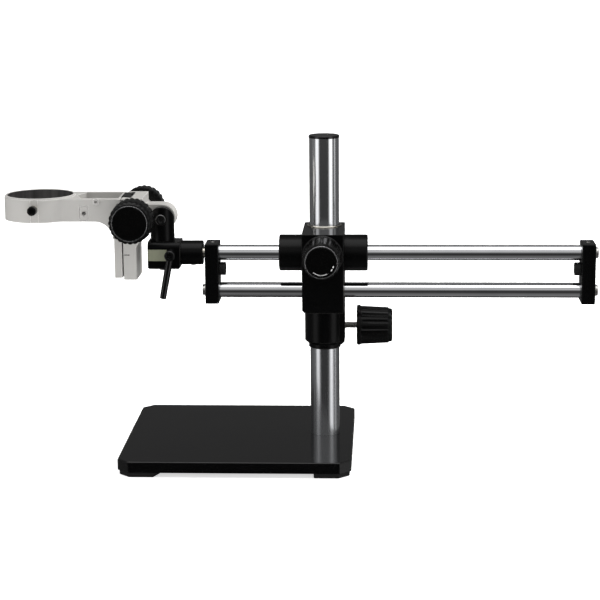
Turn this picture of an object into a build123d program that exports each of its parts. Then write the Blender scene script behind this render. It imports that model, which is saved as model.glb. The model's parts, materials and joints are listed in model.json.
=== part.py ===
"""Boom stand with a focusing rack for a stereo microscope.

A heavy base plate carries a chromed pillar. A carriage slides and swings on the pillar and
guides two parallel boom tubes through linear bearings. The boom's left end carries a clamp
block, a swivelling tilt post and a rack and pinion focus arm with a ring for the optical head.

Millimetres, +Z up, +X to the right along the boom, +Y to the back. The origin is under the
middle of the whole stand, on the surface that the feet rest on.
"""

from build123d import *
import os
from math import cos, pi, radians, sin, tan

os.makedirs("parts", exist_ok=True)

# ---------------------------------------------------------------- driving dimensions
# Base and feet
base_width = 269.2
base_depth = 254.0
base_corner = 13.0
foot_height = 6.0
plate_thickness = 13.0
base_top = foot_height + plate_thickness
pillar_from_right = 33.6

# Pillar
pillar_radius = 17.5
pillar_wall = 3.0
pillar_bore = pillar_radius - pillar_wall
pillar_top = 375.4
cap_height = 3.1

# Fits and gaps
running_gap = 0.05
joint_gap = 0.35

# Carriage, measured from the pillar's axis
carriage_half = 24.0
carriage_front = 68.7
carriage_back = 22.8
carriage_bottom = 180.0
carriage_top = 271.7
sleeve_bottom = 130.35
sleeve_radius = 23.7
bush_radius = 18.6
bush_bottom = 125.4
housing_radius = 21.2
housing_length = 27.5
bearing_radius = 16.0

# Boom, measured from the pillar's axis
boom_setback = 30.0
upper_height = 244.4
lower_height = 200.1
tube_radius = 9.0
tube_wall = 2.0
plate_end_thickness = 16.0
left_plate_outer = 137.8
right_plate_outer = 314.2
end_plate_half = 16.9
end_plate_bottom = 186.2
end_plate_top = 256.8
washer_radius = 8.0
washer_thickness = 1.3
bolt_head_radius = 6.5
bolt_head_height = 3.0

# Lock knobs
knob_length = 42.0
bead_radius = 23.9
bead_length = 4.6
grip_radius_inner = 22.9
grip_radius_outer = 21.3
knob_nose_radius = 20.0
knob_nose_length = 4.6
flute_count = 16
flute_radius = 2.1
lock_stud_radius = 4.0

# Focusing head, measured from the pillar's axis
ring_reach = 330.4
ring_bore = 38.0
ring_outer = 41.5
ring_top = 313.7
arm_top = 312.0
arm_bottom = 285.6
arm_half = 31.0
swivel_reach = 188.1
pivot_height = 285.4
pinion_reach = 217.0
pinion_height = 289.8
pinion_pitch_radius = 6.0
pinion_teeth = 12
bar_left = 241.8
bar_right = 232.9
body_left = 231.4
body_right = 207.4
tail_right = 216.0
tail_bottom = 216.3
tail_half = 24.6
focus_knob_inner = 41.0
focus_knob_length = 31.0
focus_knob_radius = 25.5
focus_grip_radius = 24.6
focus_face_radius = 21.4
focus_flutes = 24

# ---------------------------------------------------------------- derived places
# The stand's whole length runs from the ring to the right-hand bolt heads, centred on x = 0.
tail_reach = right_plate_outer + washer_thickness + bolt_head_height
pillar_x = (ring_reach + ring_outer - tail_reach) / 2
pillar_y = 3.0
base_x = pillar_x + pillar_from_right - base_width / 2
boom_y = pillar_y - boom_setback
ring_x = pillar_x - ring_reach
swivel_x = pillar_x - swivel_reach
pinion_x = pillar_x - pinion_reach
stand_front = pillar_y - carriage_front


# ---------------------------------------------------------------- planes and stock shapes
def facing_right(x, y, z):
    return Plane(origin=(x, y, z), x_dir=(0, 1, 0), z_dir=(1, 0, 0))


def facing_left(x, y, z):
    return Plane(origin=(x, y, z), x_dir=(0, -1, 0), z_dir=(-1, 0, 0))


def facing_front(x, y, z):
    return Plane(origin=(x, y, z), x_dir=(1, 0, 0), z_dir=(0, -1, 0))


def facing_back(x, y, z):
    return Plane(origin=(x, y, z), x_dir=(-1, 0, 0), z_dir=(0, 1, 0))


def facing_up(x, y, z):
    return Plane(origin=(x, y, z), x_dir=(1, 0, 0), z_dir=(0, 0, 1))


def facing_down(x, y, z):
    return Plane(origin=(x, y, z), x_dir=(1, 0, 0), z_dir=(0, 0, -1))


def round_bar(plane, radius, length, mode=Mode.ADD):
    """A round bar, or a round hole, standing on a plane."""
    with BuildSketch(plane) as section:
        Circle(radius)
    extrude(section.sketch, amount=length, mode=mode)


def ring_bar(plane, outer, inner, length):
    """A tube standing on a plane."""
    with BuildSketch(plane) as section:
        Circle(outer)
        Circle(inner, mode=Mode.SUBTRACT)
    extrude(section.sketch, amount=length)


def square_bar(plane, width, height, length, mode=Mode.ADD):
    """A rectangular bar, or slot, centred on a plane's origin."""
    with BuildSketch(plane) as section:
        Rectangle(width, height)
    extrude(section.sketch, amount=length, mode=mode)


def hex_socket(plane, radius, depth):
    """A hexagonal key socket sunk into the face that the plane lies on."""
    with BuildSketch(plane) as section:
        RegularPolygon(radius, 6)
    extrude(section.sketch, amount=-depth, mode=Mode.SUBTRACT)


def socket_screw(seat, shank, length, head, head_height, key):
    """A screw whose head stands on the seat plane and whose shank runs behind it."""
    round_bar(seat, head, head_height)
    round_bar(seat, shank, -length)
    hex_socket(seat.offset(head_height), key, head_height * 0.6)


def turned(seat, outline):
    """Revolve an outline of (radius, distance along the normal) points about the seat's axis."""
    profile = Plane(origin=seat.origin, x_dir=seat.x_dir, z_dir=seat.x_dir.cross(seat.z_dir))
    with BuildSketch(profile) as section:
        with BuildLine():
            Polyline(*outline, close=True)
        make_face()
    revolve(section.sketch, axis=Axis(seat.origin, seat.z_dir))


def flutes(seat, count, radius, start, end, start_radius, end_radius, depth):
    """Cut round grooves along a tapered grip, from one (distance, radius) to another."""
    lean = (start_radius - end_radius) / (end - start)
    for index in range(count):
        outward = seat.x_dir.rotate(Axis((0, 0, 0), seat.z_dir), 360 * (index + 0.5) / count)
        centre = start_radius + radius - depth
        origin = seat.origin + seat.z_dir * start + outward * centre
        groove = Plane(origin=origin, z_dir=seat.z_dir - outward * lean)
        round_bar(groove, radius, end - start, Mode.SUBTRACT)


# ---------------------------------------------------------------- base
base_edge_radius = 1.2
foot_screw_inset = 17.0
foot_screw_radius = 2.0
foot_screw_length = 9.6
foot_screw_head_radius = 3.8
foot_screw_head_height = 2.4
foot_screw_seat = 3.4
pillar_bolt_radius = 4.0
pillar_bolt_length = 22.0
bolt_recess_radius = 7.2
bolt_recess_depth = 8.5
corners = (
    Plane(origin=(base_x - base_width / 2, -base_depth / 2, 0), x_dir=(1, 0, 0), z_dir=(0, 0, 1)),
    Plane(origin=(base_x + base_width / 2, -base_depth / 2, 0), x_dir=(0, 1, 0), z_dir=(0, 0, 1)),
    Plane(origin=(base_x + base_width / 2, base_depth / 2, 0), x_dir=(-1, 0, 0), z_dir=(0, 0, 1)),
    Plane(origin=(base_x - base_width / 2, base_depth / 2, 0), x_dir=(0, -1, 0), z_dir=(0, 0, 1)),
)

with BuildPart() as base_plate:
    with BuildSketch(Plane((base_x, 0, foot_height))):
        Rectangle(base_width, base_depth)
        chamfer(vertices(), base_corner)
    extrude(amount=plate_thickness)
    fillet(faces().sort_by(Axis.Z)[-1].edges(), base_edge_radius)
    with Locations(facing_down(pillar_x, pillar_y, foot_height)):
        CounterBoreHole(pillar_bolt_radius + 0.2, bolt_recess_radius, bolt_recess_depth, plate_thickness)
    for corner in corners:
        foot_hole = corner.offset(foot_height).shift_origin(
            corner.offset(foot_height).from_local_coords((foot_screw_inset, foot_screw_inset))
        )
        round_bar(foot_hole, foot_screw_radius + running_gap, 8.0, Mode.SUBTRACT)
base_plate.part.label = "base_plate"
export_step(base_plate.part, "parts/base_plate.step")

# Four moulded rubber pads, one turned into each corner, following its chamfer.
pad_outline = (
    (14, 2), (42.5, 2), (49, 18), (32, 20), (20, 32), (20, 43), (2, 43), (2, 14),
)
with BuildPart() as base_feet:
    for corner in corners:
        with BuildSketch(corner):
            with BuildLine():
                Polyline(*pad_outline, close=True)
            make_face()
            with Locations((foot_screw_inset, foot_screw_inset)):
                Circle(foot_screw_radius + 0.2, mode=Mode.SUBTRACT)
        extrude(amount=foot_height)
    chamfer(faces().filter_by(Axis.Z).group_by(Axis.Z)[0].edges().filter_by(GeomType.LINE), 1.0)
    for corner in corners:
        with BuildSketch(corner):
            with Locations((foot_screw_inset, foot_screw_inset)):
                Circle(foot_screw_head_radius + 0.6)
        extrude(amount=foot_screw_seat, mode=Mode.SUBTRACT)
base_feet.part.label = "base_feet"
export_step(base_feet.part, "parts/base_feet.step")

with BuildPart() as foot_screws:
    for corner in corners:
        centre = corner.from_local_coords((foot_screw_inset, foot_screw_inset, 0))
        socket_screw(
            facing_down(centre.X, centre.Y, foot_screw_seat), foot_screw_radius, foot_screw_length,
            foot_screw_head_radius, foot_screw_head_height, 1.5,
        )
foot_screws.part.label = "foot_screws"
export_step(foot_screws.part, "parts/foot_screws.step")

# ---------------------------------------------------------------- pillar
plug_length = 25.0
cap_overhang = 0.5
cap_plug_length = 12.0
bolt_seat = foot_height + bolt_recess_depth

with BuildPart() as pillar:
    ring_bar(facing_up(pillar_x, pillar_y, base_top), pillar_radius, pillar_bore, pillar_top - base_top)
pillar.part.label = "pillar"
export_step(pillar.part, "parts/pillar.step")

with BuildPart() as pillar_plug:
    ring_bar(facing_up(pillar_x, pillar_y, base_top), pillar_bore, pillar_bolt_radius, plug_length)
pillar_plug.part.label = "pillar_plug"
export_step(pillar_plug.part, "parts/pillar_plug.step")

with BuildPart() as pillar_bolt:
    socket_screw(
        facing_down(pillar_x, pillar_y, bolt_seat), pillar_bolt_radius, pillar_bolt_length, 6.5, 8.0, 3.4
    )
pillar_bolt.part.label = "pillar_bolt"
export_step(pillar_bolt.part, "parts/pillar_bolt.step")

with BuildPart() as pillar_cap:
    round_bar(facing_up(pillar_x, pillar_y, pillar_top), pillar_radius + cap_overhang, cap_height)
    fillet(faces().sort_by(Axis.Z)[-1].edges(), 1.2)
    round_bar(facing_down(pillar_x, pillar_y, pillar_top), pillar_bore - 0.1, cap_plug_length)
pillar_cap.part.label = "pillar_cap"
export_step(pillar_cap.part, "parts/pillar_cap.step")

# ---------------------------------------------------------------- bush on the pillar
clip_thickness = 1.2
bush_flange_radius = 19.2
bush_top = carriage_top + running_gap + clip_thickness

with BuildPart() as column_bush:
    turned(
        facing_up(pillar_x, pillar_y, 0),
        (
            (pillar_radius + running_gap, bush_bottom),
            (bush_flange_radius - 1.0, bush_bottom),
            (bush_flange_radius, bush_bottom + 1.0),
            (bush_flange_radius, sleeve_bottom - running_gap),
            (bush_radius, sleeve_bottom - running_gap),
            (bush_radius, bush_top),
            (pillar_radius + running_gap, bush_top),
        ),
    )
column_bush.part.label = "column_bush"
export_step(column_bush.part, "parts/column_bush.step")

with BuildPart() as bush_clip:
    ring_bar(
        facing_up(pillar_x, pillar_y, carriage_top + running_gap),
        bush_radius + 2.0,
        bush_radius,
        clip_thickness,
    )
    chamfer(faces().sort_by(Axis.Z)[-1].edges().sort_by(SortBy.RADIUS)[-1], 0.4)
bush_clip.part.label = "bush_clip"
export_step(bush_clip.part, "parts/bush_clip.step")

# ---------------------------------------------------------------- carriage
pillar_lock_height = 151.5
boom_lock_height = 247.5
lock_boss_half = 16.0
spigot_length = 5.0
lower_bush_radius = 11.0
lower_bush_length = 10.0
boom_pad_radius = 5.0
boom_pad_bore_start = 11.0
tube_clearance = 1.0
bearing_shoulder = 2.5
block_depth = carriage_front + carriage_back
block_y = pillar_y + (carriage_back - carriage_front) / 2

with BuildPart() as carriage_body:
    with BuildSketch(Plane((pillar_x, block_y, carriage_bottom))):
        Rectangle(2 * carriage_half, block_depth)
    extrude(amount=carriage_top - carriage_bottom)
    chamfer(faces().sort_by(Axis.Z)[0].edges().filter_by(Axis.Y).sort_by(Axis.X)[0], 3.0)
    fillet(edges().filter_by(Axis.Z).group_by(Axis.Y)[-1], 3.5)
    fillet(edges().filter_by(Axis.Z).group_by(Axis.Y)[0], 1.0)
    with BuildSketch(Plane((pillar_x, pillar_y, sleeve_bottom))):
        Circle(sleeve_radius)
        with Locations((carriage_half / 2, 0)):
            Rectangle(carriage_half, 2 * lock_boss_half)
    extrude(amount=carriage_bottom - sleeve_bottom)
    chamfer(faces().sort_by(Axis.Z)[0].edges(), 3.8)
    round_bar(
        facing_up(pillar_x, pillar_y, sleeve_bottom),
        bush_radius + running_gap,
        carriage_top - sleeve_bottom,
        Mode.SUBTRACT,
    )
    # Passages for the tubes, with seats for the housings' spigots and the lower bushes.
    for side_plane, side in ((facing_left, -1), (facing_right, 1)):
        face_x = pillar_x + side * carriage_half
        upper_bore = side_plane(face_x, boom_y, upper_height)
        round_bar(upper_bore, tube_radius + tube_clearance, -carriage_half, Mode.SUBTRACT)
        round_bar(upper_bore, bearing_radius, -spigot_length, Mode.SUBTRACT)
        lower_bore = side_plane(face_x, boom_y, lower_height)
        round_bar(lower_bore, tube_radius + 0.6, -carriage_half, Mode.SUBTRACT)
        round_bar(lower_bore, lower_bush_radius, -lower_bush_length, Mode.SUBTRACT)
    # The boom lock's stud and pad, from the front, and the pillar lock's, from the right.
    boom_lock_face = facing_front(pillar_x, stand_front, boom_lock_height)
    boom_lock_depth = carriage_front - boom_setback
    round_bar(boom_lock_face, lock_stud_radius + 0.1, -boom_lock_depth, Mode.SUBTRACT)
    round_bar(
        boom_lock_face.offset(-boom_pad_bore_start), boom_pad_radius + running_gap,
        boom_pad_bore_start - boom_lock_depth, Mode.SUBTRACT,
    )
    round_bar(
        facing_right(pillar_x, pillar_y, pillar_lock_height), lock_stud_radius + 0.1, carriage_half + 1,
        Mode.SUBTRACT,
    )
carriage_body.part.label = "carriage_body"
export_step(carriage_body.part, "parts/carriage_body.step")


def bearing_housing(side_plane, side):
    """A round housing on the carriage's flank, with a spigot behind and a bearing seat in front."""
    flank = side_plane(pillar_x + side * carriage_half, boom_y, upper_height)
    round_bar(flank, housing_radius, housing_length)
    fillet(edges().filter_by(GeomType.CIRCLE).sort_by(Axis.X)[-1 if side > 0 else 0], 1.8)
    round_bar(flank, bearing_radius, -spigot_length)
    round_bar(
        flank.offset(-spigot_length), tube_radius + tube_clearance, housing_length + spigot_length,
        Mode.SUBTRACT,
    )
    round_bar(
        flank.offset(bearing_shoulder), bearing_radius, housing_length - bearing_shoulder, Mode.SUBTRACT
    )


with BuildPart() as bearing_housing_left:
    bearing_housing(facing_left, -1)
bearing_housing_left.part.label = "bearing_housing_left"
export_step(bearing_housing_left.part, "parts/bearing_housing_left.step")

with BuildPart() as bearing_housing_right:
    bearing_housing(facing_right, 1)
bearing_housing_right.part.label = "bearing_housing_right"
export_step(bearing_housing_right.part, "parts/bearing_housing_right.step")

# Linear ball bearings: a sleeve with a groove near each end and a face seal.
with BuildPart() as linear_bearings:
    for side_plane, side in ((facing_left, -1), (facing_right, 1)):
        inner = side_plane(pillar_x + side * (carriage_half + bearing_shoulder), boom_y, upper_height)
        ring_bar(inner, bearing_radius, tube_radius + running_gap, housing_length - 3.3)
        with BuildSketch(inner.offset(housing_length - 4.1)):
            Circle(bearing_radius - 1.6)
            Circle(tube_radius + 1.6, mode=Mode.SUBTRACT)
        extrude(amount=0.8, mode=Mode.SUBTRACT)
linear_bearings.part.label = "linear_bearings"
export_step(linear_bearings.part, "parts/linear_bearings.step")

with BuildPart() as lower_bushes:
    for side_plane, side in ((facing_left, -1), (facing_right, 1)):
        inner = side_plane(pillar_x + side * (carriage_half - lower_bush_length), boom_y, lower_height)
        ring_bar(inner, lower_bush_radius, tube_radius + running_gap, lower_bush_length)
lower_bushes.part.label = "lower_bushes"
export_step(lower_bushes.part, "parts/lower_bushes.step")

# ---------------------------------------------------------------- lock knobs
knob_face_recess = 0.9
knob_rim_width = 2.6
stud_into_knob = 22.0


def lock_knob(seat):
    """A tapered, fluted knob that stands on its seat plane and faces along the normal."""
    nose_start = knob_length - knob_nose_length
    turned(
        seat,
        (
            (0, 0),
            (bead_radius - 0.8, 0),
            (bead_radius, 0.8),
            (bead_radius, bead_length - 0.8),
            (grip_radius_inner, bead_length),
            (grip_radius_outer, nose_start),
            (knob_nose_radius + 0.3, nose_start + 0.6),
            (knob_nose_radius, knob_length - 2.4),
            (knob_nose_radius - 0.7, knob_length - 0.7),
            (knob_nose_radius - 2.0, knob_length),
            (0, knob_length),
        ),
    )
    flutes(
        seat, flute_count, flute_radius, bead_length + 0.6, nose_start + 0.2,
        grip_radius_inner, grip_radius_outer, 1.3,
    )
    round_bar(seat, lock_stud_radius, stud_into_knob, Mode.SUBTRACT)
    round_bar(seat.offset(knob_length), knob_nose_radius - knob_rim_width, -knob_face_recess, Mode.SUBTRACT)


def lock_cap(seat):
    """The glossy disc pressed into a lock knob's face."""
    round_bar(
        seat.offset(knob_length - knob_face_recess), knob_nose_radius - knob_rim_width, knob_face_recess + 0.2
    )


pillar_pad_tip = bush_radius + joint_gap
pillar_pad_length = 2.0
pillar_stud_tip = pillar_pad_tip + pillar_pad_length
pillar_knob_start = 38.2
pillar_knob_seat = facing_right(pillar_x + pillar_knob_start, pillar_y, pillar_lock_height)

with BuildPart() as pillar_lock_pad:
    round_bar(
        facing_right(pillar_x + pillar_pad_tip, pillar_y, pillar_lock_height), lock_stud_radius,
        pillar_pad_length,
    )
pillar_lock_pad.part.label = "pillar_lock_pad"
export_step(pillar_lock_pad.part, "parts/pillar_lock_pad.step")

with BuildPart() as pillar_lock_screw:
    round_bar(
        facing_right(pillar_x + pillar_stud_tip, pillar_y, pillar_lock_height),
        lock_stud_radius,
        pillar_knob_start + stud_into_knob - pillar_stud_tip,
    )
pillar_lock_screw.part.label = "pillar_lock_screw"
export_step(pillar_lock_screw.part, "parts/pillar_lock_screw.step")

with BuildPart() as pillar_lock_knob:
    lock_knob(pillar_knob_seat)
pillar_lock_knob.part.label = "pillar_lock_knob"
export_step(pillar_lock_knob.part, "parts/pillar_lock_knob.step")

with BuildPart() as pillar_lock_cap:
    lock_cap(pillar_knob_seat)
pillar_lock_cap.part.label = "pillar_lock_cap"
export_step(pillar_lock_cap.part, "parts/pillar_lock_cap.step")

boom_knob_gap = 1.5
boom_pad_length = 8.0
boom_pad_tip_y = boom_y - tube_radius - joint_gap
boom_knob_seat = facing_front(pillar_x, stand_front - boom_knob_gap, boom_lock_height)

with BuildPart() as boom_lock_pad:
    round_bar(facing_front(pillar_x, boom_pad_tip_y, boom_lock_height), boom_pad_radius, boom_pad_length)
boom_lock_pad.part.label = "boom_lock_pad"
export_step(boom_lock_pad.part, "parts/boom_lock_pad.step")

with BuildPart() as boom_lock_screw:
    screw_tip_y = boom_pad_tip_y - boom_pad_length
    round_bar(
        facing_front(pillar_x, screw_tip_y, boom_lock_height),
        lock_stud_radius,
        screw_tip_y - (stand_front - boom_knob_gap) + stud_into_knob,
    )
boom_lock_screw.part.label = "boom_lock_screw"
export_step(boom_lock_screw.part, "parts/boom_lock_screw.step")

with BuildPart() as boom_lock_knob:
    lock_knob(boom_knob_seat)
boom_lock_knob.part.label = "boom_lock_knob"
export_step(boom_lock_knob.part, "parts/boom_lock_knob.step")

with BuildPart() as boom_lock_cap:
    lock_cap(boom_knob_seat)
boom_lock_cap.part.label = "boom_lock_cap"
export_step(boom_lock_cap.part, "parts/boom_lock_cap.step")

# ---------------------------------------------------------------- boom
tube_socket_depth = 12.0
tube_left = pillar_x - left_plate_outer + plate_end_thickness - tube_socket_depth
tube_right = pillar_x + right_plate_outer - plate_end_thickness + tube_socket_depth
tube_bore = tube_radius - tube_wall
end_plate_middle = (end_plate_bottom + end_plate_top) / 2
end_bolt_radius = 3.0
head_pin_thread = 4.0
bumper_radius = 7.7
bumper_length = 7.3
bumper_height = 225.3
tube_plug_length = 20.0
end_bolt_length = 18.0
set_screw_radius = 2.5
set_screw_depth = 2.0
set_screw_rise = 0.3
plate_edge_radius = 1.3
bumper_edge_radius = 0.9

for node, tube_height in (("upper_tube", upper_height), ("lower_tube", lower_height)):
    with BuildPart() as boom_tube:
        ring_bar(
            facing_right(tube_left, boom_y, tube_height), tube_radius, tube_bore, tube_right - tube_left
        )
    boom_tube.part.label = node
    export_step(boom_tube.part, f"parts/{node}.step")


def end_plate(outer_face, upper_hole):
    """A plate that holds both tubes; the outer face's normal looks away from the pillar."""
    with BuildSketch(outer_face) as outline:
        Rectangle(2 * end_plate_half, end_plate_top - end_plate_bottom)
    extrude(outline.sketch, amount=-plate_end_thickness)
    fillet(edges(), plate_edge_radius)
    inner_face = outer_face.offset(-plate_end_thickness)
    for tube_height, bolt_hole in ((upper_height, upper_hole), (lower_height, end_bolt_radius)):
        rise = tube_height - end_plate_middle
        hole_face = inner_face.shift_origin(inner_face.from_local_coords((0, rise, 0)))
        round_bar(hole_face, tube_radius, tube_socket_depth, Mode.SUBTRACT)
        round_bar(hole_face, bolt_hole + 0.1, plate_end_thickness, Mode.SUBTRACT)
    socket_centre = outer_face.origin - outer_face.z_dir * plate_end_thickness / 2
    round_bar(
        facing_down(socket_centre.X, boom_y, end_plate_top), set_screw_radius, set_screw_depth, Mode.SUBTRACT
    )


left_outer_face = facing_left(pillar_x - left_plate_outer, boom_y, end_plate_middle)
right_outer_face = facing_right(pillar_x + right_plate_outer, boom_y, end_plate_middle)

with BuildPart() as end_plate_left:
    end_plate(left_outer_face, head_pin_thread)
end_plate_left.part.label = "end_plate_left"
export_step(end_plate_left.part, "parts/end_plate_left.step")

with BuildPart() as end_plate_right:
    end_plate(right_outer_face, end_bolt_radius)
end_plate_right.part.label = "end_plate_right"
export_step(end_plate_right.part, "parts/end_plate_right.step")

# Threaded plugs fill the tubes' ends; the left upper one takes the head pin's thread.
with BuildPart() as tube_plugs:
    ring_bar(facing_right(tube_left, boom_y, upper_height), tube_bore, head_pin_thread, tube_plug_length)
    ring_bar(facing_right(tube_left, boom_y, lower_height), tube_bore, end_bolt_radius, tube_plug_length)
    ring_bar(facing_left(tube_right, boom_y, upper_height), tube_bore, end_bolt_radius, tube_plug_length)
    ring_bar(facing_left(tube_right, boom_y, lower_height), tube_bore, end_bolt_radius, tube_plug_length)
tube_plugs.part.label = "tube_plugs"
export_step(tube_plugs.part, "parts/tube_plugs.step")

bolt_seats = (
    facing_left(pillar_x - left_plate_outer, boom_y, lower_height),
    facing_right(pillar_x + right_plate_outer, boom_y, upper_height),
    facing_right(pillar_x + right_plate_outer, boom_y, lower_height),
)
with BuildPart() as end_washers:
    for bolt_plane in bolt_seats:
        ring_bar(bolt_plane, washer_radius, end_bolt_radius + 0.2, washer_thickness)
end_washers.part.label = "end_washers"
export_step(end_washers.part, "parts/end_washers.step")

with BuildPart() as end_bolts:
    for bolt_plane in bolt_seats:
        socket_screw(
            bolt_plane.offset(washer_thickness), end_bolt_radius, end_bolt_length, bolt_head_radius,
            bolt_head_height, 2.6,
        )
    fillet(
        edges().filter_by(lambda e: e.geom_type == GeomType.CIRCLE and e.radius > 6).group_by(Axis.X)[-1],
        1.0,
    )
    fillet(
        edges().filter_by(lambda e: e.geom_type == GeomType.CIRCLE and e.radius > 6).group_by(Axis.X)[0],
        1.0,
    )
end_bolts.part.label = "end_bolts"
export_step(end_bolts.part, "parts/end_bolts.step")

with BuildPart() as plate_set_screws:
    for outer_face in (left_outer_face, right_outer_face):
        centre = outer_face.origin - outer_face.z_dir * plate_end_thickness / 2
        set_screw_top = end_plate_top + set_screw_rise
        round_bar(
            facing_down(centre.X, boom_y, set_screw_top), set_screw_radius, set_screw_depth + set_screw_rise
        )
        hex_socket(facing_up(centre.X, boom_y, set_screw_top), 1.4, 1.3)
plate_set_screws.part.label = "plate_set_screws"
export_step(plate_set_screws.part, "parts/plate_set_screws.step")

with BuildPart() as bumpers:
    inner_left = pillar_x - left_plate_outer + plate_end_thickness
    inner_right = pillar_x + right_plate_outer - plate_end_thickness
    for bumper_face in (
        facing_right(inner_left, boom_y, bumper_height),
        facing_left(inner_right, boom_y, bumper_height),
    ):
        round_bar(bumper_face, bumper_radius, bumper_length)
    fillet(edges().filter_by(GeomType.CIRCLE).group_by(Axis.X)[1], bumper_edge_radius)
    fillet(edges().filter_by(GeomType.CIRCLE).group_by(Axis.X)[-2], bumper_edge_radius)
bumpers.part.label = "bumpers"
export_step(bumpers.part, "parts/bumpers.step")

head_pin_radius = 6.0
head_pin_end = 167.0
roll_screw_reach = 152.5
groove_radius = 4.8
groove_half = 3.0
head_pin_thread_length = 18.0
pin_chamfer = 1.0
groove_start = roll_screw_reach - groove_half - left_plate_outer
groove_end = roll_screw_reach + groove_half - left_plate_outer
pin_length = head_pin_end - left_plate_outer

with BuildPart() as head_pin:
    turned(
        facing_left(pillar_x - left_plate_outer, boom_y, upper_height),
        (
            (0, -head_pin_thread_length),
            (head_pin_thread, -head_pin_thread_length),
            (head_pin_thread, 0),
            (head_pin_radius, 0),
            (head_pin_radius, groove_start),
            (groove_radius, groove_start),
            (groove_radius, groove_end),
            (head_pin_radius, groove_end),
            (head_pin_radius, pin_length - pin_chamfer),
            (head_pin_radius - pin_chamfer, pin_length),
            (0, pin_length),
        ),
    )
head_pin.part.label = "head_pin"
export_step(head_pin.part, "parts/head_pin.step")

# ---------------------------------------------------------------- clamp block
block_left = 203.9
block_right = 166.5
block_half_depth = 19.0
block_bottom = 227.8
block_top = 259.4
collar_radius = 14.2
collar_end = 140.7
post_pin_radius = 8.0
lever_reach = 176.1
lever_height = 246.5
cotter_radius = 5.5
cotter_half_length = 9.0
lever_stud_radius = 3.0
label_width = 22.0
label_height = 13.3
label_thickness = 0.5
label_hub_radius = 6.4
block_top_radius = 7.0
block_bottom_chamfer = 1.4
roll_screw_radius = 2.5
block_middle_x = pillar_x - (block_left + block_right) / 2
lever_x = pillar_x - lever_reach
block_front = boom_y - block_half_depth

with BuildPart() as clamp_block:
    with BuildSketch(Plane((block_middle_x, boom_y, block_bottom))):
        Rectangle(block_left - block_right, 2 * block_half_depth)
    extrude(amount=block_top - block_bottom)
    fillet(faces().sort_by(Axis.Z)[-1].edges().filter_by(Axis.X), block_top_radius)
    chamfer(faces().sort_by(Axis.Z)[0].edges(), block_bottom_chamfer)
    round_bar(
        facing_right(pillar_x - block_right, boom_y, upper_height), collar_radius, block_right - collar_end
    )
    fillet(edges().filter_by(GeomType.CIRCLE).sort_by(Axis.X)[-1], 1.0)
    # Bores for the head pin, the post's pin, the cotter and the lever's stud.
    round_bar(
        facing_left(pillar_x - collar_end, boom_y, upper_height), head_pin_radius + running_gap,
        head_pin_end + 0.5 - collar_end, Mode.SUBTRACT,
    )
    round_bar(
        facing_up(swivel_x, boom_y, block_bottom), post_pin_radius, block_top - block_bottom, Mode.SUBTRACT
    )
    round_bar(
        facing_front(lever_x, boom_y + block_half_depth, lever_height), cotter_radius + running_gap,
        block_half_depth + cotter_half_length + 2.0, Mode.SUBTRACT,
    )
    round_bar(
        facing_front(lever_x, boom_y, lever_height), lever_stud_radius + 0.2, block_half_depth, Mode.SUBTRACT
    )
    round_bar(
        facing_up(pillar_x - roll_screw_reach, boom_y, upper_height - collar_radius), roll_screw_radius,
        collar_radius, Mode.SUBTRACT,
    )
clamp_block.part.label = "clamp_block"
export_step(clamp_block.part, "parts/clamp_block.step")

with BuildPart() as block_label:
    label_left = pillar_x - block_left + 0.6
    label_face = facing_front(label_left + label_width / 2, block_front, (block_bottom + block_top) / 2 + 0.6)
    with BuildSketch(label_face):
        Rectangle(label_width, label_height)
        with Locations((lever_x - label_left - label_width / 2, lever_height - label_face.origin.Z)):
            Circle(label_hub_radius, mode=Mode.SUBTRACT)
    extrude(amount=label_thickness)
block_label.part.label = "block_label"
export_step(block_label.part, "parts/block_label.step")

with BuildPart() as roll_screw:
    roll_screw_bottom = upper_height - collar_radius - 0.5
    round_bar(
        facing_up(pillar_x - roll_screw_reach, boom_y, roll_screw_bottom), roll_screw_radius,
        upper_height - groove_radius - joint_gap - roll_screw_bottom,
    )
    hex_socket(facing_down(pillar_x - roll_screw_reach, boom_y, roll_screw_bottom), 1.4, 2.0)
roll_screw.part.label = "roll_screw"
export_step(roll_screw.part, "parts/roll_screw.step")

# The cotter is a round bar with a scallop that matches the post's pin; the stud threads into it.
with BuildPart() as clamp_cotter:
    round_bar(
        facing_front(lever_x, boom_y + cotter_half_length, lever_height), cotter_radius,
        2 * cotter_half_length,
    )
    round_bar(
        facing_front(lever_x, boom_y + cotter_half_length, lever_height), lever_stud_radius,
        2 * cotter_half_length, Mode.SUBTRACT,
    )
    with BuildSketch(facing_up(swivel_x, boom_y, block_bottom)):
        SlotOverall(2 * (post_pin_radius + 0.3) + 3.0, 2 * (post_pin_radius + 0.3), rotation=90)
    extrude(amount=block_top - block_bottom, mode=Mode.SUBTRACT)
clamp_cotter.part.label = "clamp_cotter"
export_step(clamp_cotter.part, "parts/clamp_cotter.step")

# ---------------------------------------------------------------- clamp lever
# Distances along the lever's axis are counted from the block's front face.
collar_thickness = 1.5
hub_start = collar_thickness + 0.1
hub_radius = 6.2
hub_length = 18.0
shoulder_start = 10.6
shoulder_end = 12.0
screw_seat_distance = 17.2
spring_length = 2.7
spring_radius = 2.5
spring_wire = 0.35
spring_pitch = 0.95
lever_angle = 10.8
spline_radius = 3.9
spline_length = 2.0
lever_screw_radius = 1.5
lever_screw_length = 12.0
lever_screw_head = 3.0
lever_length = 52.4
lever_seat = facing_front(lever_x, block_front, lever_height)
lever_stud_start = -block_half_depth - 5.0

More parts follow.
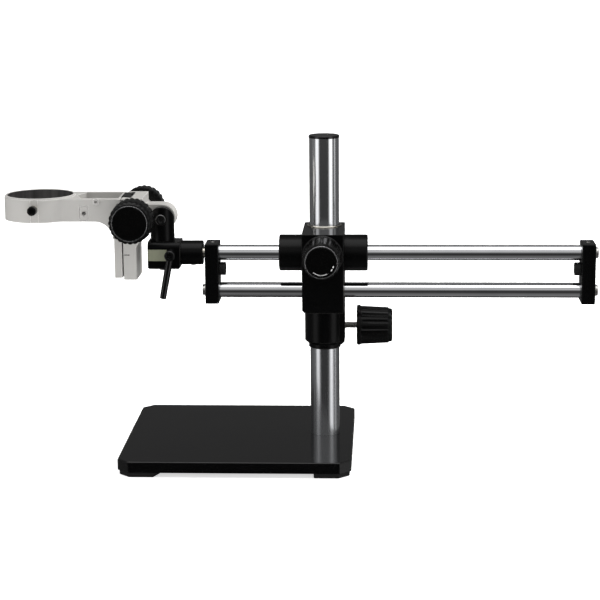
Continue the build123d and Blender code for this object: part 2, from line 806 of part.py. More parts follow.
with BuildPart() as lever_insert:
    turned(
        lever_seat,
        (
            (0, lever_stud_start),
            (lever_stud_radius, lever_stud_start),
            (lever_stud_radius, running_gap),
            (hub_radius - 0.4, running_gap),
            (hub_radius - 0.4, collar_thickness),
            (spline_radius, collar_thickness),
            (spline_radius, collar_thickness + spline_length),
            (lever_stud_radius, collar_thickness + spline_length),
            (lever_stud_radius, shoulder_start - 0.1),
            (0, shoulder_start - 0.1),
        ),
    )
    round_bar(lever_seat.offset(shoulder_start - 0.1), lever_screw_radius, -8.0, Mode.SUBTRACT)
lever_insert.part.label = "lever_insert"
export_step(lever_insert.part, "parts/lever_insert.step")

with BuildPart() as lever_handle:
    round_bar(lever_seat.offset(hub_start), hub_radius, hub_length)
    fillet(edges().filter_by(GeomType.CIRCLE).sort_by(Axis.Y)[0], 1.6)
    lean = radians(lever_angle)
    grip_axis = Vector(-sin(lean), 0, -cos(lean))
    grip_origin = lever_seat.origin + Vector(0, -(hub_start + hub_length * 0.46), 0)
    with BuildSketch(Plane(origin=grip_origin, x_dir=(0, 1, 0), z_dir=grip_axis)):
        Ellipse(4.6, 4.3)
    with BuildSketch(Plane(origin=grip_origin + grip_axis * lever_length, x_dir=(0, 1, 0), z_dir=grip_axis)):
        Ellipse(3.6, 3.8)
    loft()
    fillet(edges().sort_by(Axis.Z)[0], 0.7)
    hub_seat = lever_seat.offset(hub_start)
    round_bar(hub_seat, spline_radius + 0.1, spline_length + 0.3, Mode.SUBTRACT)
    round_bar(hub_seat, lever_stud_radius + running_gap, shoulder_start - hub_start, Mode.SUBTRACT)
    round_bar(hub_seat, lever_screw_radius + 0.4, hub_length, Mode.SUBTRACT)
    round_bar(lever_seat.offset(shoulder_end), lever_screw_head + 0.3, hub_length, Mode.SUBTRACT)
lever_handle.part.label = "lever_handle"
export_step(lever_handle.part, "parts/lever_handle.step")

# The spring sits under the screw's head at its pressed length, as when the handle is pulled out.
with BuildPart() as lever_spring:
    spring_base = lever_seat.offset(screw_seat_distance - spring_length + spring_wire)
    turns_height = spring_length - 2 * spring_wire - 0.02
    with BuildLine():
        coil = Helix(
            spring_pitch, turns_height, spring_radius, center=tuple(spring_base.origin),
            direction=tuple(spring_base.z_dir),
        )
    with BuildSketch(Plane(origin=coil @ 0, z_dir=coil % 0)):
        Circle(spring_wire)
    sweep(is_frenet=True)
lever_spring.part.label = "lever_spring"
export_step(lever_spring.part, "parts/lever_spring.step")

with BuildPart() as lever_screw:
    socket_screw(
        lever_seat.offset(screw_seat_distance), lever_screw_radius, lever_screw_length, lever_screw_head,
        1.9, 1.3,
    )
lever_screw.part.label = "lever_screw"
export_step(lever_screw.part, "parts/lever_screw.step")

# ---------------------------------------------------------------- tilt post
post_radius = 14.1
post_bottom = block_top + 0.1
post_step = 266.5
tongue_back = boom_y - 0.5
bolt_seat_y = boom_y - 11.5
tilt_bolt_radius = 4.0
tilt_head_radius = 6.1
tilt_head_height = 5.0
lug_start = 0.55
lug_end = 25.0
lug_radius = 15.5
nut_thickness = 6.5
nut_radius = 7.5
tilt_washer_radius = 11.0
head_recess_gap = 0.7
retainer_screw_radius = 2.5
retainer_radius = 10.5
retainer_thickness = 1.2

with BuildPart() as tilt_post:
    round_bar(facing_up(swivel_x, boom_y, post_bottom), post_radius, pivot_height - post_bottom + post_radius)
    # The top is rounded about the tilt axis.
    with BuildSketch(facing_front(swivel_x, boom_y + post_radius, pivot_height)):
        with Locations((0, (post_bottom - pivot_height) / 2)):
            Rectangle(2 * post_radius, pivot_height - post_bottom)
        Circle(post_radius)
    extrude(amount=2 * post_radius, mode=Mode.INTERSECT)
    # The back half is cut away above a step, for the lug.
    square_bar(
        Plane((swivel_x, tongue_back + post_radius, post_step)), 2 * post_radius + 2, 2 * post_radius,
        2 * post_radius + 10, Mode.SUBTRACT,
    )
    round_bar(
        facing_front(swivel_x, bolt_seat_y, pivot_height), tilt_head_radius + head_recess_gap, post_radius,
        Mode.SUBTRACT,
    )
    round_bar(facing_front(swivel_x, boom_y, pivot_height), tilt_bolt_radius, post_radius, Mode.SUBTRACT)
    round_bar(
        facing_down(swivel_x, boom_y, post_bottom), post_pin_radius - running_gap,
        post_bottom - block_bottom,
    )
    round_bar(facing_up(swivel_x, boom_y, block_bottom), retainer_screw_radius, 14.0, Mode.SUBTRACT)
tilt_post.part.label = "tilt_post"
export_step(tilt_post.part, "parts/tilt_post.step")

with BuildPart() as post_retainer:
    retainer_seat = facing_down(swivel_x, boom_y, block_bottom - running_gap)
    round_bar(retainer_seat, retainer_radius, retainer_thickness)
    round_bar(retainer_seat, 4.5, 3.8)
    hex_socket(retainer_seat.offset(3.8), 2.3, 2.2)
    round_bar(retainer_seat, retainer_screw_radius, -12.0)
post_retainer.part.label = "post_retainer"
export_step(post_retainer.part, "parts/post_retainer.step")

with BuildPart() as tilt_bolt:
    socket_screw(
        facing_front(swivel_x, bolt_seat_y, pivot_height), tilt_bolt_radius,
        boom_y + lug_end + running_gap + nut_thickness + 1.5 - bolt_seat_y,
        tilt_head_radius, tilt_head_height, 3.4,
    )
    fillet(edges().filter_by(GeomType.CIRCLE).sort_by(Axis.Y)[0], 1.4)
tilt_bolt.part.label = "tilt_bolt"
export_step(tilt_bolt.part, "parts/tilt_bolt.step")

with BuildPart() as tilt_washer:
    ring_bar(
        facing_back(swivel_x, tongue_back, pivot_height), tilt_washer_radius, tilt_bolt_radius,
        boom_y + lug_start - running_gap - tongue_back,
    )
tilt_washer.part.label = "tilt_washer"
export_step(tilt_washer.part, "parts/tilt_washer.step")

with BuildPart() as tilt_nut:
    with BuildSketch(facing_back(swivel_x, boom_y + lug_end + running_gap, pivot_height)):
        RegularPolygon(nut_radius, 6)
        Circle(tilt_bolt_radius, mode=Mode.SUBTRACT)
    extrude(amount=nut_thickness)
tilt_nut.part.label = "tilt_nut"
export_step(tilt_nut.part, "parts/tilt_nut.step")

# ---------------------------------------------------------------- focus body
def head_x(reach):
    """The x of a place on the focusing head, given its distance left of the pillar."""
    return pillar_x - reach


body_bottom = 255.0
body_slope_top = 270.0
housing_step = 266.0
index_height = 245.6
channel_inner = 221.3
channel_half_inner = 20.7
channel_half_mouth = 15.3
shaft_radius = 4.0
pinion_bore = 7.0
boss_radius = 14.0
boss_end = 40.5
shaft_bush_length = 12.0
index_centre = head_x(228.2)
index_length = 4.6
index_width = 0.8
index_depth = 0.5
dash_centre = head_x(219.5)
oil_hole_x = head_x(197.6)
oil_hole_radius = 1.6
oil_hole_depth = 5.0


with BuildPart() as focus_body:
    # Housing and tail, drawn from the front.
    with BuildSketch(facing_front(0, boom_y + arm_half, 0)):
        with BuildLine():
            Polyline(
                (head_x(body_left), tail_bottom),
                (head_x(tail_right), tail_bottom),
                (head_x(tail_right), body_bottom),
                (head_x(body_right), body_slope_top),
                (head_x(body_right), arm_top),
                (head_x(body_left), arm_top),
                close=True,
            )
        make_face()
    extrude(amount=2 * arm_half)
    # The tail is narrower than the housing.
    for side in (-1, 1):
        square_bar(
            Plane((head_x(223.0), boom_y + side * (tail_half + 5), tail_bottom)), 30.0, 10.0,
            housing_step - tail_bottom, Mode.SUBTRACT,
        )
    fillet(edges().filter_by(Axis.Z), 1.0)
    # The lug behind the post's tongue.
    with BuildSketch(facing_back(swivel_x, boom_y + lug_start, pivot_height)):
        Circle(lug_radius)
        with Locations(((body_right - swivel_reach + 2) / 2, 0)):
            Rectangle(body_right - swivel_reach + 2, 2 * lug_radius)
    extrude(amount=lug_end - lug_start)
    # A boss on each side for the pinion shaft's bush.
    for side_plane in (facing_front, facing_back):
        round_bar(side_plane(pinion_x, boom_y, pinion_height), boss_radius, boss_end)
    # Dovetail channel, open at the top, the bottom and towards the arm.
    with BuildSketch(Plane((0, boom_y, tail_bottom))):
        with BuildLine():
            Polyline(
                (head_x(body_left), channel_half_mouth),
                (head_x(channel_inner), channel_half_inner),
                (head_x(channel_inner), -channel_half_inner),
                (head_x(body_left), -channel_half_mouth),
                close=True,
            )
        make_face()
    extrude(amount=arm_top - tail_bottom + 1, mode=Mode.SUBTRACT)
    round_bar(
        facing_front(pinion_x, boom_y + boss_end, pinion_height), pinion_bore, 2 * boss_end, Mode.SUBTRACT
    )
    round_bar(
        facing_back(swivel_x, boom_y, pivot_height), tilt_bolt_radius + running_gap, 40.0, Mode.SUBTRACT
    )
    # Engraved marks: an index line on the tail's front and a dash on the housing's top.
    square_bar(
        facing_front(index_centre, boom_y - tail_half, index_height), index_length, index_width,
        -index_depth, Mode.SUBTRACT,
    )
    square_bar(facing_up(dash_centre, boom_y - 4.0, arm_top), 2.8, 1.2, -0.4, Mode.SUBTRACT)
    # A blind oil hole in the top of the lug.
    round_bar(
        facing_up(oil_hole_x, boom_y + 14.0, pivot_height + lug_radius), oil_hole_radius, -oil_hole_depth,
        Mode.SUBTRACT,
    )
focus_body.part.label = "focus_body"
export_step(focus_body.part, "parts/focus_body.step")

with BuildPart() as pinion_bushes:
    for side_plane, side in ((facing_front, -1), (facing_back, 1)):
        ring_bar(
            side_plane(pinion_x, boom_y + side * (boss_end - shaft_bush_length), pinion_height),
            pinion_bore, shaft_radius + running_gap, shaft_bush_length,
        )
pinion_bushes.part.label = "pinion_bushes"
export_step(pinion_bushes.part, "parts/pinion_bushes.step")

# ---------------------------------------------------------------- pinion and focus knobs
tooth_height_out = 0.8
tooth_height_in = 1.1
pinion_half_width = 3.6
tooth_half_pitch_width = 0.62
pressure_angle = 20
tooth_slope = tan(radians(pressure_angle))
shaft_into_knob = 24.0
knob_cap_rim = 1.8
knob_back_recess = 3.0
focus_flute_radius = 1.8
focus_flute_depth = 1.3
tooth_pitch = 2 * pi * pinion_pitch_radius / pinion_teeth

with BuildPart() as pinion_shaft:
    shaft_end = focus_knob_inner + shaft_into_knob
    round_bar(facing_front(pinion_x, boom_y + shaft_end, pinion_height), shaft_radius, 2 * shaft_end)
    with BuildSketch(facing_front(pinion_x, boom_y + pinion_half_width, pinion_height)):
        Circle(pinion_pitch_radius - tooth_height_in)
        # A tooth space faces the rack at rest, so the teeth start half a pitch away from it.
        tooth_foot = tooth_height_in + 0.2
        with PolarLocations(pinion_pitch_radius - tooth_foot, pinion_teeth, 180 / pinion_teeth):
            Trapezoid(
                2 * (tooth_half_pitch_width + tooth_foot * tooth_slope),
                tooth_foot + tooth_height_out,
                90 - pressure_angle,
                align=(Align.CENTER, Align.MIN),
                rotation=-90,
            )
    extrude(amount=2 * pinion_half_width)
pinion_shaft.part.label = "pinion_shaft"
export_step(pinion_shaft.part, "parts/pinion_shaft.step")


def focus_knob(seat):
    """A lobed knob, a little larger at the body's end, with a smooth stepped face."""
    lip = focus_knob_length
    turned(
        seat,
        (
            (0, 0),
            (focus_knob_radius - 1.2, 0),
            (focus_knob_radius, 1.4),
            (focus_grip_radius, lip - 5.0),
            (focus_grip_radius - 1.2, lip - 3.4),
            (focus_face_radius + 0.6, lip - 2.6),
            (focus_face_radius, lip - 0.8),
            (focus_face_radius - 0.8, lip),
            (0, lip),
        ),
    )
    flutes(
        seat, focus_flutes, focus_flute_radius, -1.0, lip - 2.4, focus_knob_radius,
        focus_grip_radius - 0.1, focus_flute_depth,
    )
    round_bar(seat, shaft_radius, shaft_into_knob, Mode.SUBTRACT)
    round_bar(seat, 16.0, knob_back_recess, Mode.SUBTRACT)
    ring_bar(seat, 8.0, shaft_radius, knob_back_recess)
    round_bar(seat.offset(lip), focus_face_radius - knob_cap_rim, -1.0, Mode.SUBTRACT)


near_knob_seat = facing_front(pinion_x, boom_y - focus_knob_inner, pinion_height)
far_knob_seat = facing_back(pinion_x, boom_y + focus_knob_inner, pinion_height)

with BuildPart() as focus_knob_near:
    focus_knob(near_knob_seat)
focus_knob_near.part.label = "focus_knob_near"
export_step(focus_knob_near.part, "parts/focus_knob_near.step")

with BuildPart() as focus_knob_far:
    focus_knob(far_knob_seat)
focus_knob_far.part.label = "focus_knob_far"
export_step(focus_knob_far.part, "parts/focus_knob_far.step")

with BuildPart() as knob_caps:
    for seat in (near_knob_seat, far_knob_seat):
        round_bar(seat.offset(focus_knob_length - 1.0), focus_face_radius - knob_cap_rim, 1.1)
knob_caps.part.label = "knob_caps"
export_step(knob_caps.part, "parts/knob_caps.step")

# ---------------------------------------------------------------- focus arm
fillet_under_arm = 20.9
bar_bottom = 218.5
bar_half = 24.6
web_bottom = 268.0
pocket_floor = arm_top - 16.0
pocket_half = 23.2
pocket_left = 279.0
pocket_tip = 286.8
pocket_right = 235.6
ring_screw_height = 301.8
ring_screw_radius = 2.5
cover_width = 10.2
cover_height = 17.2
cover_depth = 2.0
cover_centre = (head_x(274.8), 295.4)
boss_centre = (head_x(260.4), 309.0)
screw_boss_radius = 3.8
boss_rise = 1.8
flat_depth = 0.6
flat_width = 9.0
slide_screw_heights = (240.0, 268.0, 300.0)
slide_screw_radius = 1.5
slide_screw_y = boom_y - 12
cover_screw_radius = 1.5
ring_neck_radius = 12.0
socket_boss_length = 3.0
boss_key_radius = 2.1

with BuildPart() as focus_arm:
    # Side view: the arm, its concave fillet and the slide bar.
    with BuildSketch(facing_front(0, boom_y + arm_half, 0)):
        with BuildLine():
            Polyline(
                (head_x(bar_left), arm_bottom - fillet_under_arm),
                (head_x(bar_left), web_bottom),
                (head_x(bar_right), web_bottom),
                (head_x(bar_right), arm_top),
                (ring_x, arm_top),
                (ring_x, arm_bottom),
                (head_x(bar_left) - fillet_under_arm, arm_bottom),
            )
            RadiusArc(
                (head_x(bar_left) - fillet_under_arm, arm_bottom),
                (head_x(bar_left), arm_bottom - fillet_under_arm),
                fillet_under_arm,
            )
        make_face()
    extrude(amount=2 * arm_half)
    square_bar(
        Plane((head_x((bar_left + bar_right) / 2), boom_y, bar_bottom)), bar_left - bar_right, 2 * bar_half,
        web_bottom - bar_bottom,
    )
    round_bar(Plane((ring_x, boom_y, arm_bottom)), ring_outer, arm_top - arm_bottom)
    # Concave necks where the arm's sides meet the ring.
    fillet(
        edges().filter_by(Axis.Z).filter_by(
            lambda e: abs(abs(e.center().Y - boom_y) - arm_half) < 0.1 and e.center().X < head_x(290)
        ),
        ring_neck_radius,
    )
    fillet(faces().sort_by(Axis.Z)[-1].edges(), 1.0)
    with BuildSketch(Plane((ring_x, boom_y, arm_top))):
        Circle(ring_outer - 0.6)
    extrude(amount=ring_top - arm_top, taper=20)
    round_bar(Plane((ring_x, boom_y, arm_bottom)), ring_bore, ring_top - arm_bottom, Mode.SUBTRACT)
    chamfer(faces().sort_by(Axis.Z)[-1].edges().sort_by(SortBy.RADIUS)[0], 0.8)
    # Pocket in the top, pointed towards the ring.
    with BuildSketch(Plane((0, boom_y, pocket_floor))):
        with BuildLine():
            Polyline(
                (head_x(pocket_tip), 0),
                (head_x(pocket_left), pocket_half),
                (head_x(pocket_right), pocket_half),
                (head_x(pocket_right), -pocket_half),
                (head_x(pocket_left), -pocket_half),
                close=True,
            )
        make_face()
        fillet(vertices(), 1.5)
    extrude(amount=arm_top - pocket_floor, mode=Mode.SUBTRACT)
    # A flat on the ring for the thumb screw, its hole, the cover's recess and the screw boss.
    square_bar(
        facing_front(ring_x, boom_y - ring_outer + flat_depth, (ring_top + arm_bottom) / 2), flat_width,
        ring_top - arm_bottom, 1.0, Mode.SUBTRACT,
    )
    round_bar(
        facing_front(ring_x, boom_y, ring_screw_height), ring_screw_radius + 0.1, ring_outer, Mode.SUBTRACT
    )
    arm_front = boom_y - arm_half
    boss_face = facing_front(boss_centre[0], arm_front - boss_rise, boss_centre[1])
    round_bar(boss_face, screw_boss_radius, -boss_rise - socket_boss_length)
    hex_socket(boss_face, boss_key_radius, 2.4)
    square_bar(
        facing_front(cover_centre[0], arm_front, cover_centre[1]), cover_width, cover_height, -cover_depth,
        Mode.SUBTRACT,
    )
    round_bar(
        facing_front(cover_centre[0], arm_front, cover_centre[1]), cover_screw_radius, -7.0, Mode.SUBTRACT
    )
    for height in slide_screw_heights:
        round_bar(
            facing_right(head_x(bar_left), slide_screw_y, height), slide_screw_radius + running_gap, 20.0,
            Mode.SUBTRACT,
        )
focus_arm.part.label = "focus_arm"
export_step(focus_arm.part, "parts/focus_arm.step")

with BuildPart() as arm_cover:
    with BuildSketch(facing_front(cover_centre[0], arm_front + cover_depth, cover_centre[1])):
        Rectangle(cover_width - 0.8, cover_height - 0.8)
        Circle(cover_screw_radius, mode=Mode.SUBTRACT)
    extrude(amount=cover_depth - 0.3)
arm_cover.part.label = "arm_cover"
export_step(arm_cover.part, "parts/arm_cover.step")

with BuildPart() as arm_screws:
    socket_screw(
        facing_front(cover_centre[0], arm_front + 0.3, cover_centre[1]), cover_screw_radius, 6.0, 2.2,
        0.8, 1.1,
    )
arm_screws.part.label = "arm_screws"
export_step(arm_screws.part, "parts/arm_screws.step")

# The dovetail slide is screwed to the arm's bar and runs in the body's channel.
rack_half = 4.0
rack_depth = 4.1
rack_back = pinion_reach + pinion_pitch_radius + rack_depth
slide_fit = 0.35
slide_inner = channel_inner + slide_fit
slide_half_inner = channel_half_inner - slide_fit
slide_half_mouth = channel_half_mouth - slide_fit
slide_bottom = 222.0
slide_top = arm_top + 0.8

with BuildPart() as dovetail_slide:
    with BuildSketch(Plane((0, boom_y, slide_bottom))):
        with BuildLine():
            Polyline(
                (head_x(bar_right), slide_half_mouth),
                (head_x(body_left), slide_half_mouth),
                (head_x(slide_inner), slide_half_inner),
                (head_x(slide_inner), -slide_half_inner),
                (head_x(body_left), -slide_half_mouth),
                (head_x(bar_right), -slide_half_mouth),
                close=True,
            )
        make_face()
    extrude(amount=slide_top - slide_bottom)
    square_bar(
        Plane((head_x((rack_back + slide_inner) / 2), boom_y, slide_bottom)), rack_back - slide_inner,
        2 * rack_half, slide_top + 1 - slide_bottom, Mode.SUBTRACT,
    )
    for height in slide_screw_heights:
        round_bar(
            facing_right(head_x(bar_right), slide_screw_y, height), slide_screw_radius, 8.0, Mode.SUBTRACT
        )
dovetail_slide.part.label = "dovetail_slide"
export_step(dovetail_slide.part, "parts/dovetail_slide.step")

with BuildPart() as slide_screws:
    for height in slide_screw_heights:
        screw_seat = facing_left(head_x(bar_left - 3.0), slide_screw_y, height)
        round_bar(screw_seat, slide_screw_radius, -13.0)
        round_bar(screw_seat, slide_screw_radius, 2.6)
        hex_socket(screw_seat.offset(2.6), 0.9, 1.2)
slide_screws.part.label = "slide_screws"
export_step(slide_screws.part, "parts/slide_screws.step")

# Rack teeth face the pinion; one tooth sits level with the pinion's axis.
rack_tip_x = head_x(pinion_reach + pinion_pitch_radius - tooth_height_out)
rack_root_x = head_x(pinion_reach + pinion_pitch_radius + tooth_height_in)
rack_length = slide_top - slide_bottom
with BuildPart() as rack:
    square_bar(
        Plane(((head_x(rack_back) + rack_root_x) / 2, boom_y, slide_bottom)),
        rack_root_x - head_x(rack_back), 2 * rack_half, rack_length,
    )
    first_tooth = -int((pinion_height - slide_bottom - 2) / tooth_pitch)
    last_tooth = int((slide_top - pinion_height - 2) / tooth_pitch)
    half_root = tooth_half_pitch_width + tooth_height_in * tooth_slope
    half_tip = tooth_half_pitch_width - tooth_height_out * tooth_slope
    with BuildSketch(facing_front(0, boom_y + rack_half, 0)):
        for index in range(first_tooth, last_tooth + 1):
            tooth_z = pinion_height + index * tooth_pitch
            with BuildLine():
                Polyline(
                    (rack_root_x - 0.2, tooth_z - half_root),
                    (rack_root_x, tooth_z - half_root),
                    (rack_tip_x, tooth_z - half_tip),
                    (rack_tip_x, tooth_z + half_tip),
                    (rack_root_x, tooth_z + half_root),
                    (rack_root_x - 0.2, tooth_z + half_root),
                    close=True,
                )
            make_face()
    extrude(amount=2 * rack_half)
rack.part.label = "rack"
export_step(rack.part, "parts/rack.step")

# ---------------------------------------------------------------- ring thumb screw
ring_tip_y = boom_y - ring_bore - joint_gap
ring_knob_back_y = boom_y - ring_outer - 7.0
ring_knob_radius = 5.4
ring_knob_length = 9.5
ring_collar_radius = 5.3
ring_collar_length = 3.0
ring_stud_into_knob = 6.0
ring_tip_radius = 1.9
ring_tip_length = 1.5
ring_stud_start_y = ring_tip_y - ring_tip_length

with BuildPart() as ring_screw_tip:
    round_bar(facing_front(ring_x, ring_tip_y, ring_screw_height), ring_tip_radius, ring_tip_length)
ring_screw_tip.part.label = "ring_screw_tip"
export_step(ring_screw_tip.part, "parts/ring_screw_tip.step")

with BuildPart() as ring_screw:
    stud_length = ring_stud_start_y - ring_knob_back_y + ring_stud_into_knob
    round_bar(facing_front(ring_x, ring_stud_start_y, ring_screw_height), ring_screw_radius, stud_length)
    collar_seat = facing_front(ring_x, ring_knob_back_y, ring_screw_height)
    round_bar(collar_seat, ring_collar_radius, -ring_collar_length)
ring_screw.part.label = "ring_screw"
export_step(ring_screw.part, "parts/ring_screw.step")

with BuildPart() as ring_knob:
    ring_knob_seat = facing_front(ring_x, ring_knob_back_y, ring_screw_height)
    round_bar(ring_knob_seat, ring_knob_radius, ring_knob_length)
    fillet(edges().filter_by(GeomType.CIRCLE), 0.8)
    flutes(ring_knob_seat, 18, 0.6, -0.5, ring_knob_length + 0.5, ring_knob_radius, ring_knob_radius, 0.35)
    round_bar(ring_knob_seat, ring_screw_radius, ring_stud_into_knob, Mode.SUBTRACT)
ring_knob.part.label = "ring_knob"
export_step(ring_knob.part, "parts/ring_knob.step")
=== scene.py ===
"""Looks of the microscope boom stand: camera, studio, materials and fine pieces round the CAD frame."""

import json
import math

import bmesh
import bpy
from mathutils import Matrix, Vector


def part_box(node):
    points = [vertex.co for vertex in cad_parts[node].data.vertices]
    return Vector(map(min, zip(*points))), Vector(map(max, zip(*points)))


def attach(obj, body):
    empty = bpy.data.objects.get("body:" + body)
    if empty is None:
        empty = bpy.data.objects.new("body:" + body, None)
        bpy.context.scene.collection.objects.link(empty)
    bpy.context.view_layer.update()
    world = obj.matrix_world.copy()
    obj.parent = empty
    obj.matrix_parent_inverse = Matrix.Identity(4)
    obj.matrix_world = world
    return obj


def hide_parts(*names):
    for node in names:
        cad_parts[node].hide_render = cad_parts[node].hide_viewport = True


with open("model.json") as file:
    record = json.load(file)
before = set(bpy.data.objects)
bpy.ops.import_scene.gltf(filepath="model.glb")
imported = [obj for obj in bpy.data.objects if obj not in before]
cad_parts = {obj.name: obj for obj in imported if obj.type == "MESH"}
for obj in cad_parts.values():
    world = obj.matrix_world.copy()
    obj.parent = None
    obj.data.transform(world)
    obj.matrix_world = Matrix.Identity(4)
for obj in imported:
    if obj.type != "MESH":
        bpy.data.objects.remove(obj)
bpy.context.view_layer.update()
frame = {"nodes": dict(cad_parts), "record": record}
nodes = frame["nodes"]

# ---------------------------------------------------------------- camera
CAMERA_YAW = math.radians(-2.734)
CAMERA_PITCH = math.radians(11.743)
CAMERA_ROLL = math.radians(-0.441)
CAMERA_FROM_PILLAR = Vector((0.0732, -2.1494, 0.6288))
CAMERA_LENS = 110.88
SENSOR_WIDTH = 36.0
NEAREST_SEEN = 0.05
FARTHEST_SEEN = 200.0
pillar_low, pillar_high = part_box("pillar")
pillar_axis = (pillar_low + pillar_high) / 2
pillar_axis.z = 0.0

forward = Vector(
    (
        math.sin(CAMERA_YAW) * math.cos(CAMERA_PITCH),
        math.cos(CAMERA_YAW) * math.cos(CAMERA_PITCH),
        -math.sin(CAMERA_PITCH),
    )
)
right = Vector((math.cos(CAMERA_YAW), -math.sin(CAMERA_YAW), 0.0))
up = right.cross(forward)
rolled_right = right * math.cos(CAMERA_ROLL) + up * math.sin(CAMERA_ROLL)
rolled_up = up * math.cos(CAMERA_ROLL) - right * math.sin(CAMERA_ROLL)
turn = Matrix((rolled_right, rolled_up, -forward)).transposed()

camera_data = bpy.data.cameras.new("camera")
camera_data.lens = CAMERA_LENS
camera_data.sensor_width = SENSOR_WIDTH
camera_data.clip_start = NEAREST_SEEN
camera_data.clip_end = FARTHEST_SEEN
camera = bpy.data.objects.new("camera", camera_data)
camera.matrix_world = Matrix.Translation(pillar_axis + CAMERA_FROM_PILLAR) @ turn.to_4x4()
bpy.context.collection.objects.link(camera)
bpy.context.scene.camera = camera
bpy.context.scene.view_settings.view_transform = "Standard"


# ---------------------------------------------------------------- node helpers
BEVEL_SAMPLES = 6
COAT_ROUGHNESS = 0.12
GRAIN_DEPTH = 0.0001
STREAK_DEPTH = 0.00003
METAL_EDGE_RADIUS = 0.0003
FOOT_DULLNESS = 0.14
# How well the rounded and the real normal agree where the painted highlight along edges begins, and where
# it is full.
EDGE_BEGINS = 0.995
EDGE_FULL = 0.88
# The upward share of a normal where a face begins to count as looking up, and where it fully does.
FACING_UP = (0.9, 0.99)


def new_material(name):
    material = bpy.data.materials.new(name)
    material.use_nodes = True
    tree = material.node_tree
    shader = tree.nodes["Principled BSDF"]
    return material, tree, shader


def add(tree, kind, **values):
    """A node with some of its inputs set by name, or its properties by lower-case name."""
    node = tree.nodes.new(kind)
    for key, value in values.items():
        if key in node.inputs:
            node.inputs[key].default_value = value
        else:
            setattr(node, key, value)
    return node


def place(tree, stretch):
    """Coordinates that stay with the part, scaled along X, Y and Z."""
    source = tree.nodes.new("ShaderNodeTexCoord")
    mapping = add(tree, "ShaderNodeMapping", Scale=stretch)
    tree.links.new(source.outputs["Object"], mapping.inputs["Vector"])
    return mapping.outputs["Vector"]


def noise(tree, where, scale, detail=4.0, roughness=0.5):
    node = add(tree, "ShaderNodeTexNoise", Scale=scale, Detail=detail, Roughness=roughness)
    tree.links.new(where, node.inputs["Vector"])
    return node.outputs["Fac"]


def spread(tree, value, low, high, from_low=0.3, from_high=0.7):
    """Map a noise value to a range."""
    node = tree.nodes.new("ShaderNodeMapRange")
    node.inputs["From Min"].default_value = from_low
    node.inputs["From Max"].default_value = from_high
    node.inputs["To Min"].default_value = low
    node.inputs["To Max"].default_value = high
    tree.links.new(value, node.inputs["Value"])
    return node.outputs["Result"]


def mix(tree, factor, first, second):
    """Mix two colours by a factor; each may be a colour or a socket."""
    node = tree.nodes.new("ShaderNodeMix")
    node.data_type = "RGBA"
    tree.links.new(factor, node.inputs["Factor"])
    for name, value in (("A", first), ("B", second)):
        socket = [s for s in node.inputs if s.name == name and s.type == "RGBA"][0]
        if isinstance(value, bpy.types.NodeSocket):
            tree.links.new(value, socket)
        else:
            socket.default_value = (*value, 1.0)
    return [s for s in node.outputs if s.type == "RGBA"][0]


def edge_mask(tree, radius):
    """About 1 along sharp convex edges and 0 on flat faces."""
    bevel = add(tree, "ShaderNodeBevel", Radius=radius)
    bevel.samples = BEVEL_SAMPLES
    geometry = tree.nodes.new("ShaderNodeNewGeometry")
    dot = add(tree, "ShaderNodeVectorMath", operation="DOT_PRODUCT")
    tree.links.new(bevel.outputs["Normal"], dot.inputs[0])
    tree.links.new(geometry.outputs["Normal"], dot.inputs[1])
    ramp = tree.nodes.new("ShaderNodeMapRange")
    ramp.inputs["From Min"].default_value = EDGE_BEGINS
    ramp.inputs["From Max"].default_value = EDGE_FULL
    tree.links.new(dot.outputs["Value"], ramp.inputs["Value"])
    return ramp.outputs["Result"], bevel.outputs["Normal"]


def bump(tree, shader, height, strength, distance, normal=None):
    node = add(tree, "ShaderNodeBump", Strength=strength, Distance=distance)
    tree.links.new(height, node.inputs["Height"])
    if normal is not None:
        tree.links.new(normal, node.inputs["Normal"])
    tree.links.new(node.outputs["Normal"], shader.inputs["Normal"])


def coated(
    name, dark, light, rough, grain, grain_strength, edge_highlight=None, edge_radius=0.0006, coat=0.0,
    metallic=0.0, specular=0.5, blotch=18.0, polished_top=None,
):
    """Paint, anodising or moulded plastic: two close tones, a fine grain and softly rounded edges.

    polished_top is the roughness of faces that look up, where it differs. The colour given for the edges is
    a painted highlight along them.
    """
    material, tree, shader = new_material(name)
    shader.inputs["Metallic"].default_value = metallic
    shader.inputs["Specular IOR Level"].default_value = specular
    shader.inputs["Coat Weight"].default_value = coat
    shader.inputs["Coat Roughness"].default_value = COAT_ROUGHNESS
    where = place(tree, (1.0, 1.0, 1.0))
    tone = mix(tree, spread(tree, noise(tree, where, blotch), 0.0, 1.0), dark, light)
    highlight_mask, rounded = edge_mask(tree, edge_radius)
    # A lighter colour along sharp edges: painted highlight.
    if edge_highlight is not None:
        tone = mix(tree, highlight_mask, tone, edge_highlight)
    tree.links.new(tone, shader.inputs["Base Color"])
    fine = noise(tree, where, grain, 2.0)
    gloss = spread(tree, fine, rough[0], rough[1])
    if polished_top is not None:
        geometry = tree.nodes.new("ShaderNodeNewGeometry")
        normal_axes = tree.nodes.new("ShaderNodeSeparateXYZ")
        tree.links.new(geometry.outputs["Normal"], normal_axes.inputs["Vector"])
        top = spread(tree, normal_axes.outputs["Z"], 0.0, 1.0, *FACING_UP)
        chosen = tree.nodes.new("ShaderNodeMix")
        tree.links.new(top, chosen.inputs[0])
        tree.links.new(gloss, chosen.inputs[2])
        chosen.inputs[3].default_value = polished_top
        gloss = chosen.outputs[0]
    tree.links.new(gloss, shader.inputs["Roughness"])
    bump(tree, shader, fine, grain_strength, GRAIN_DEPTH, rounded)
    return material


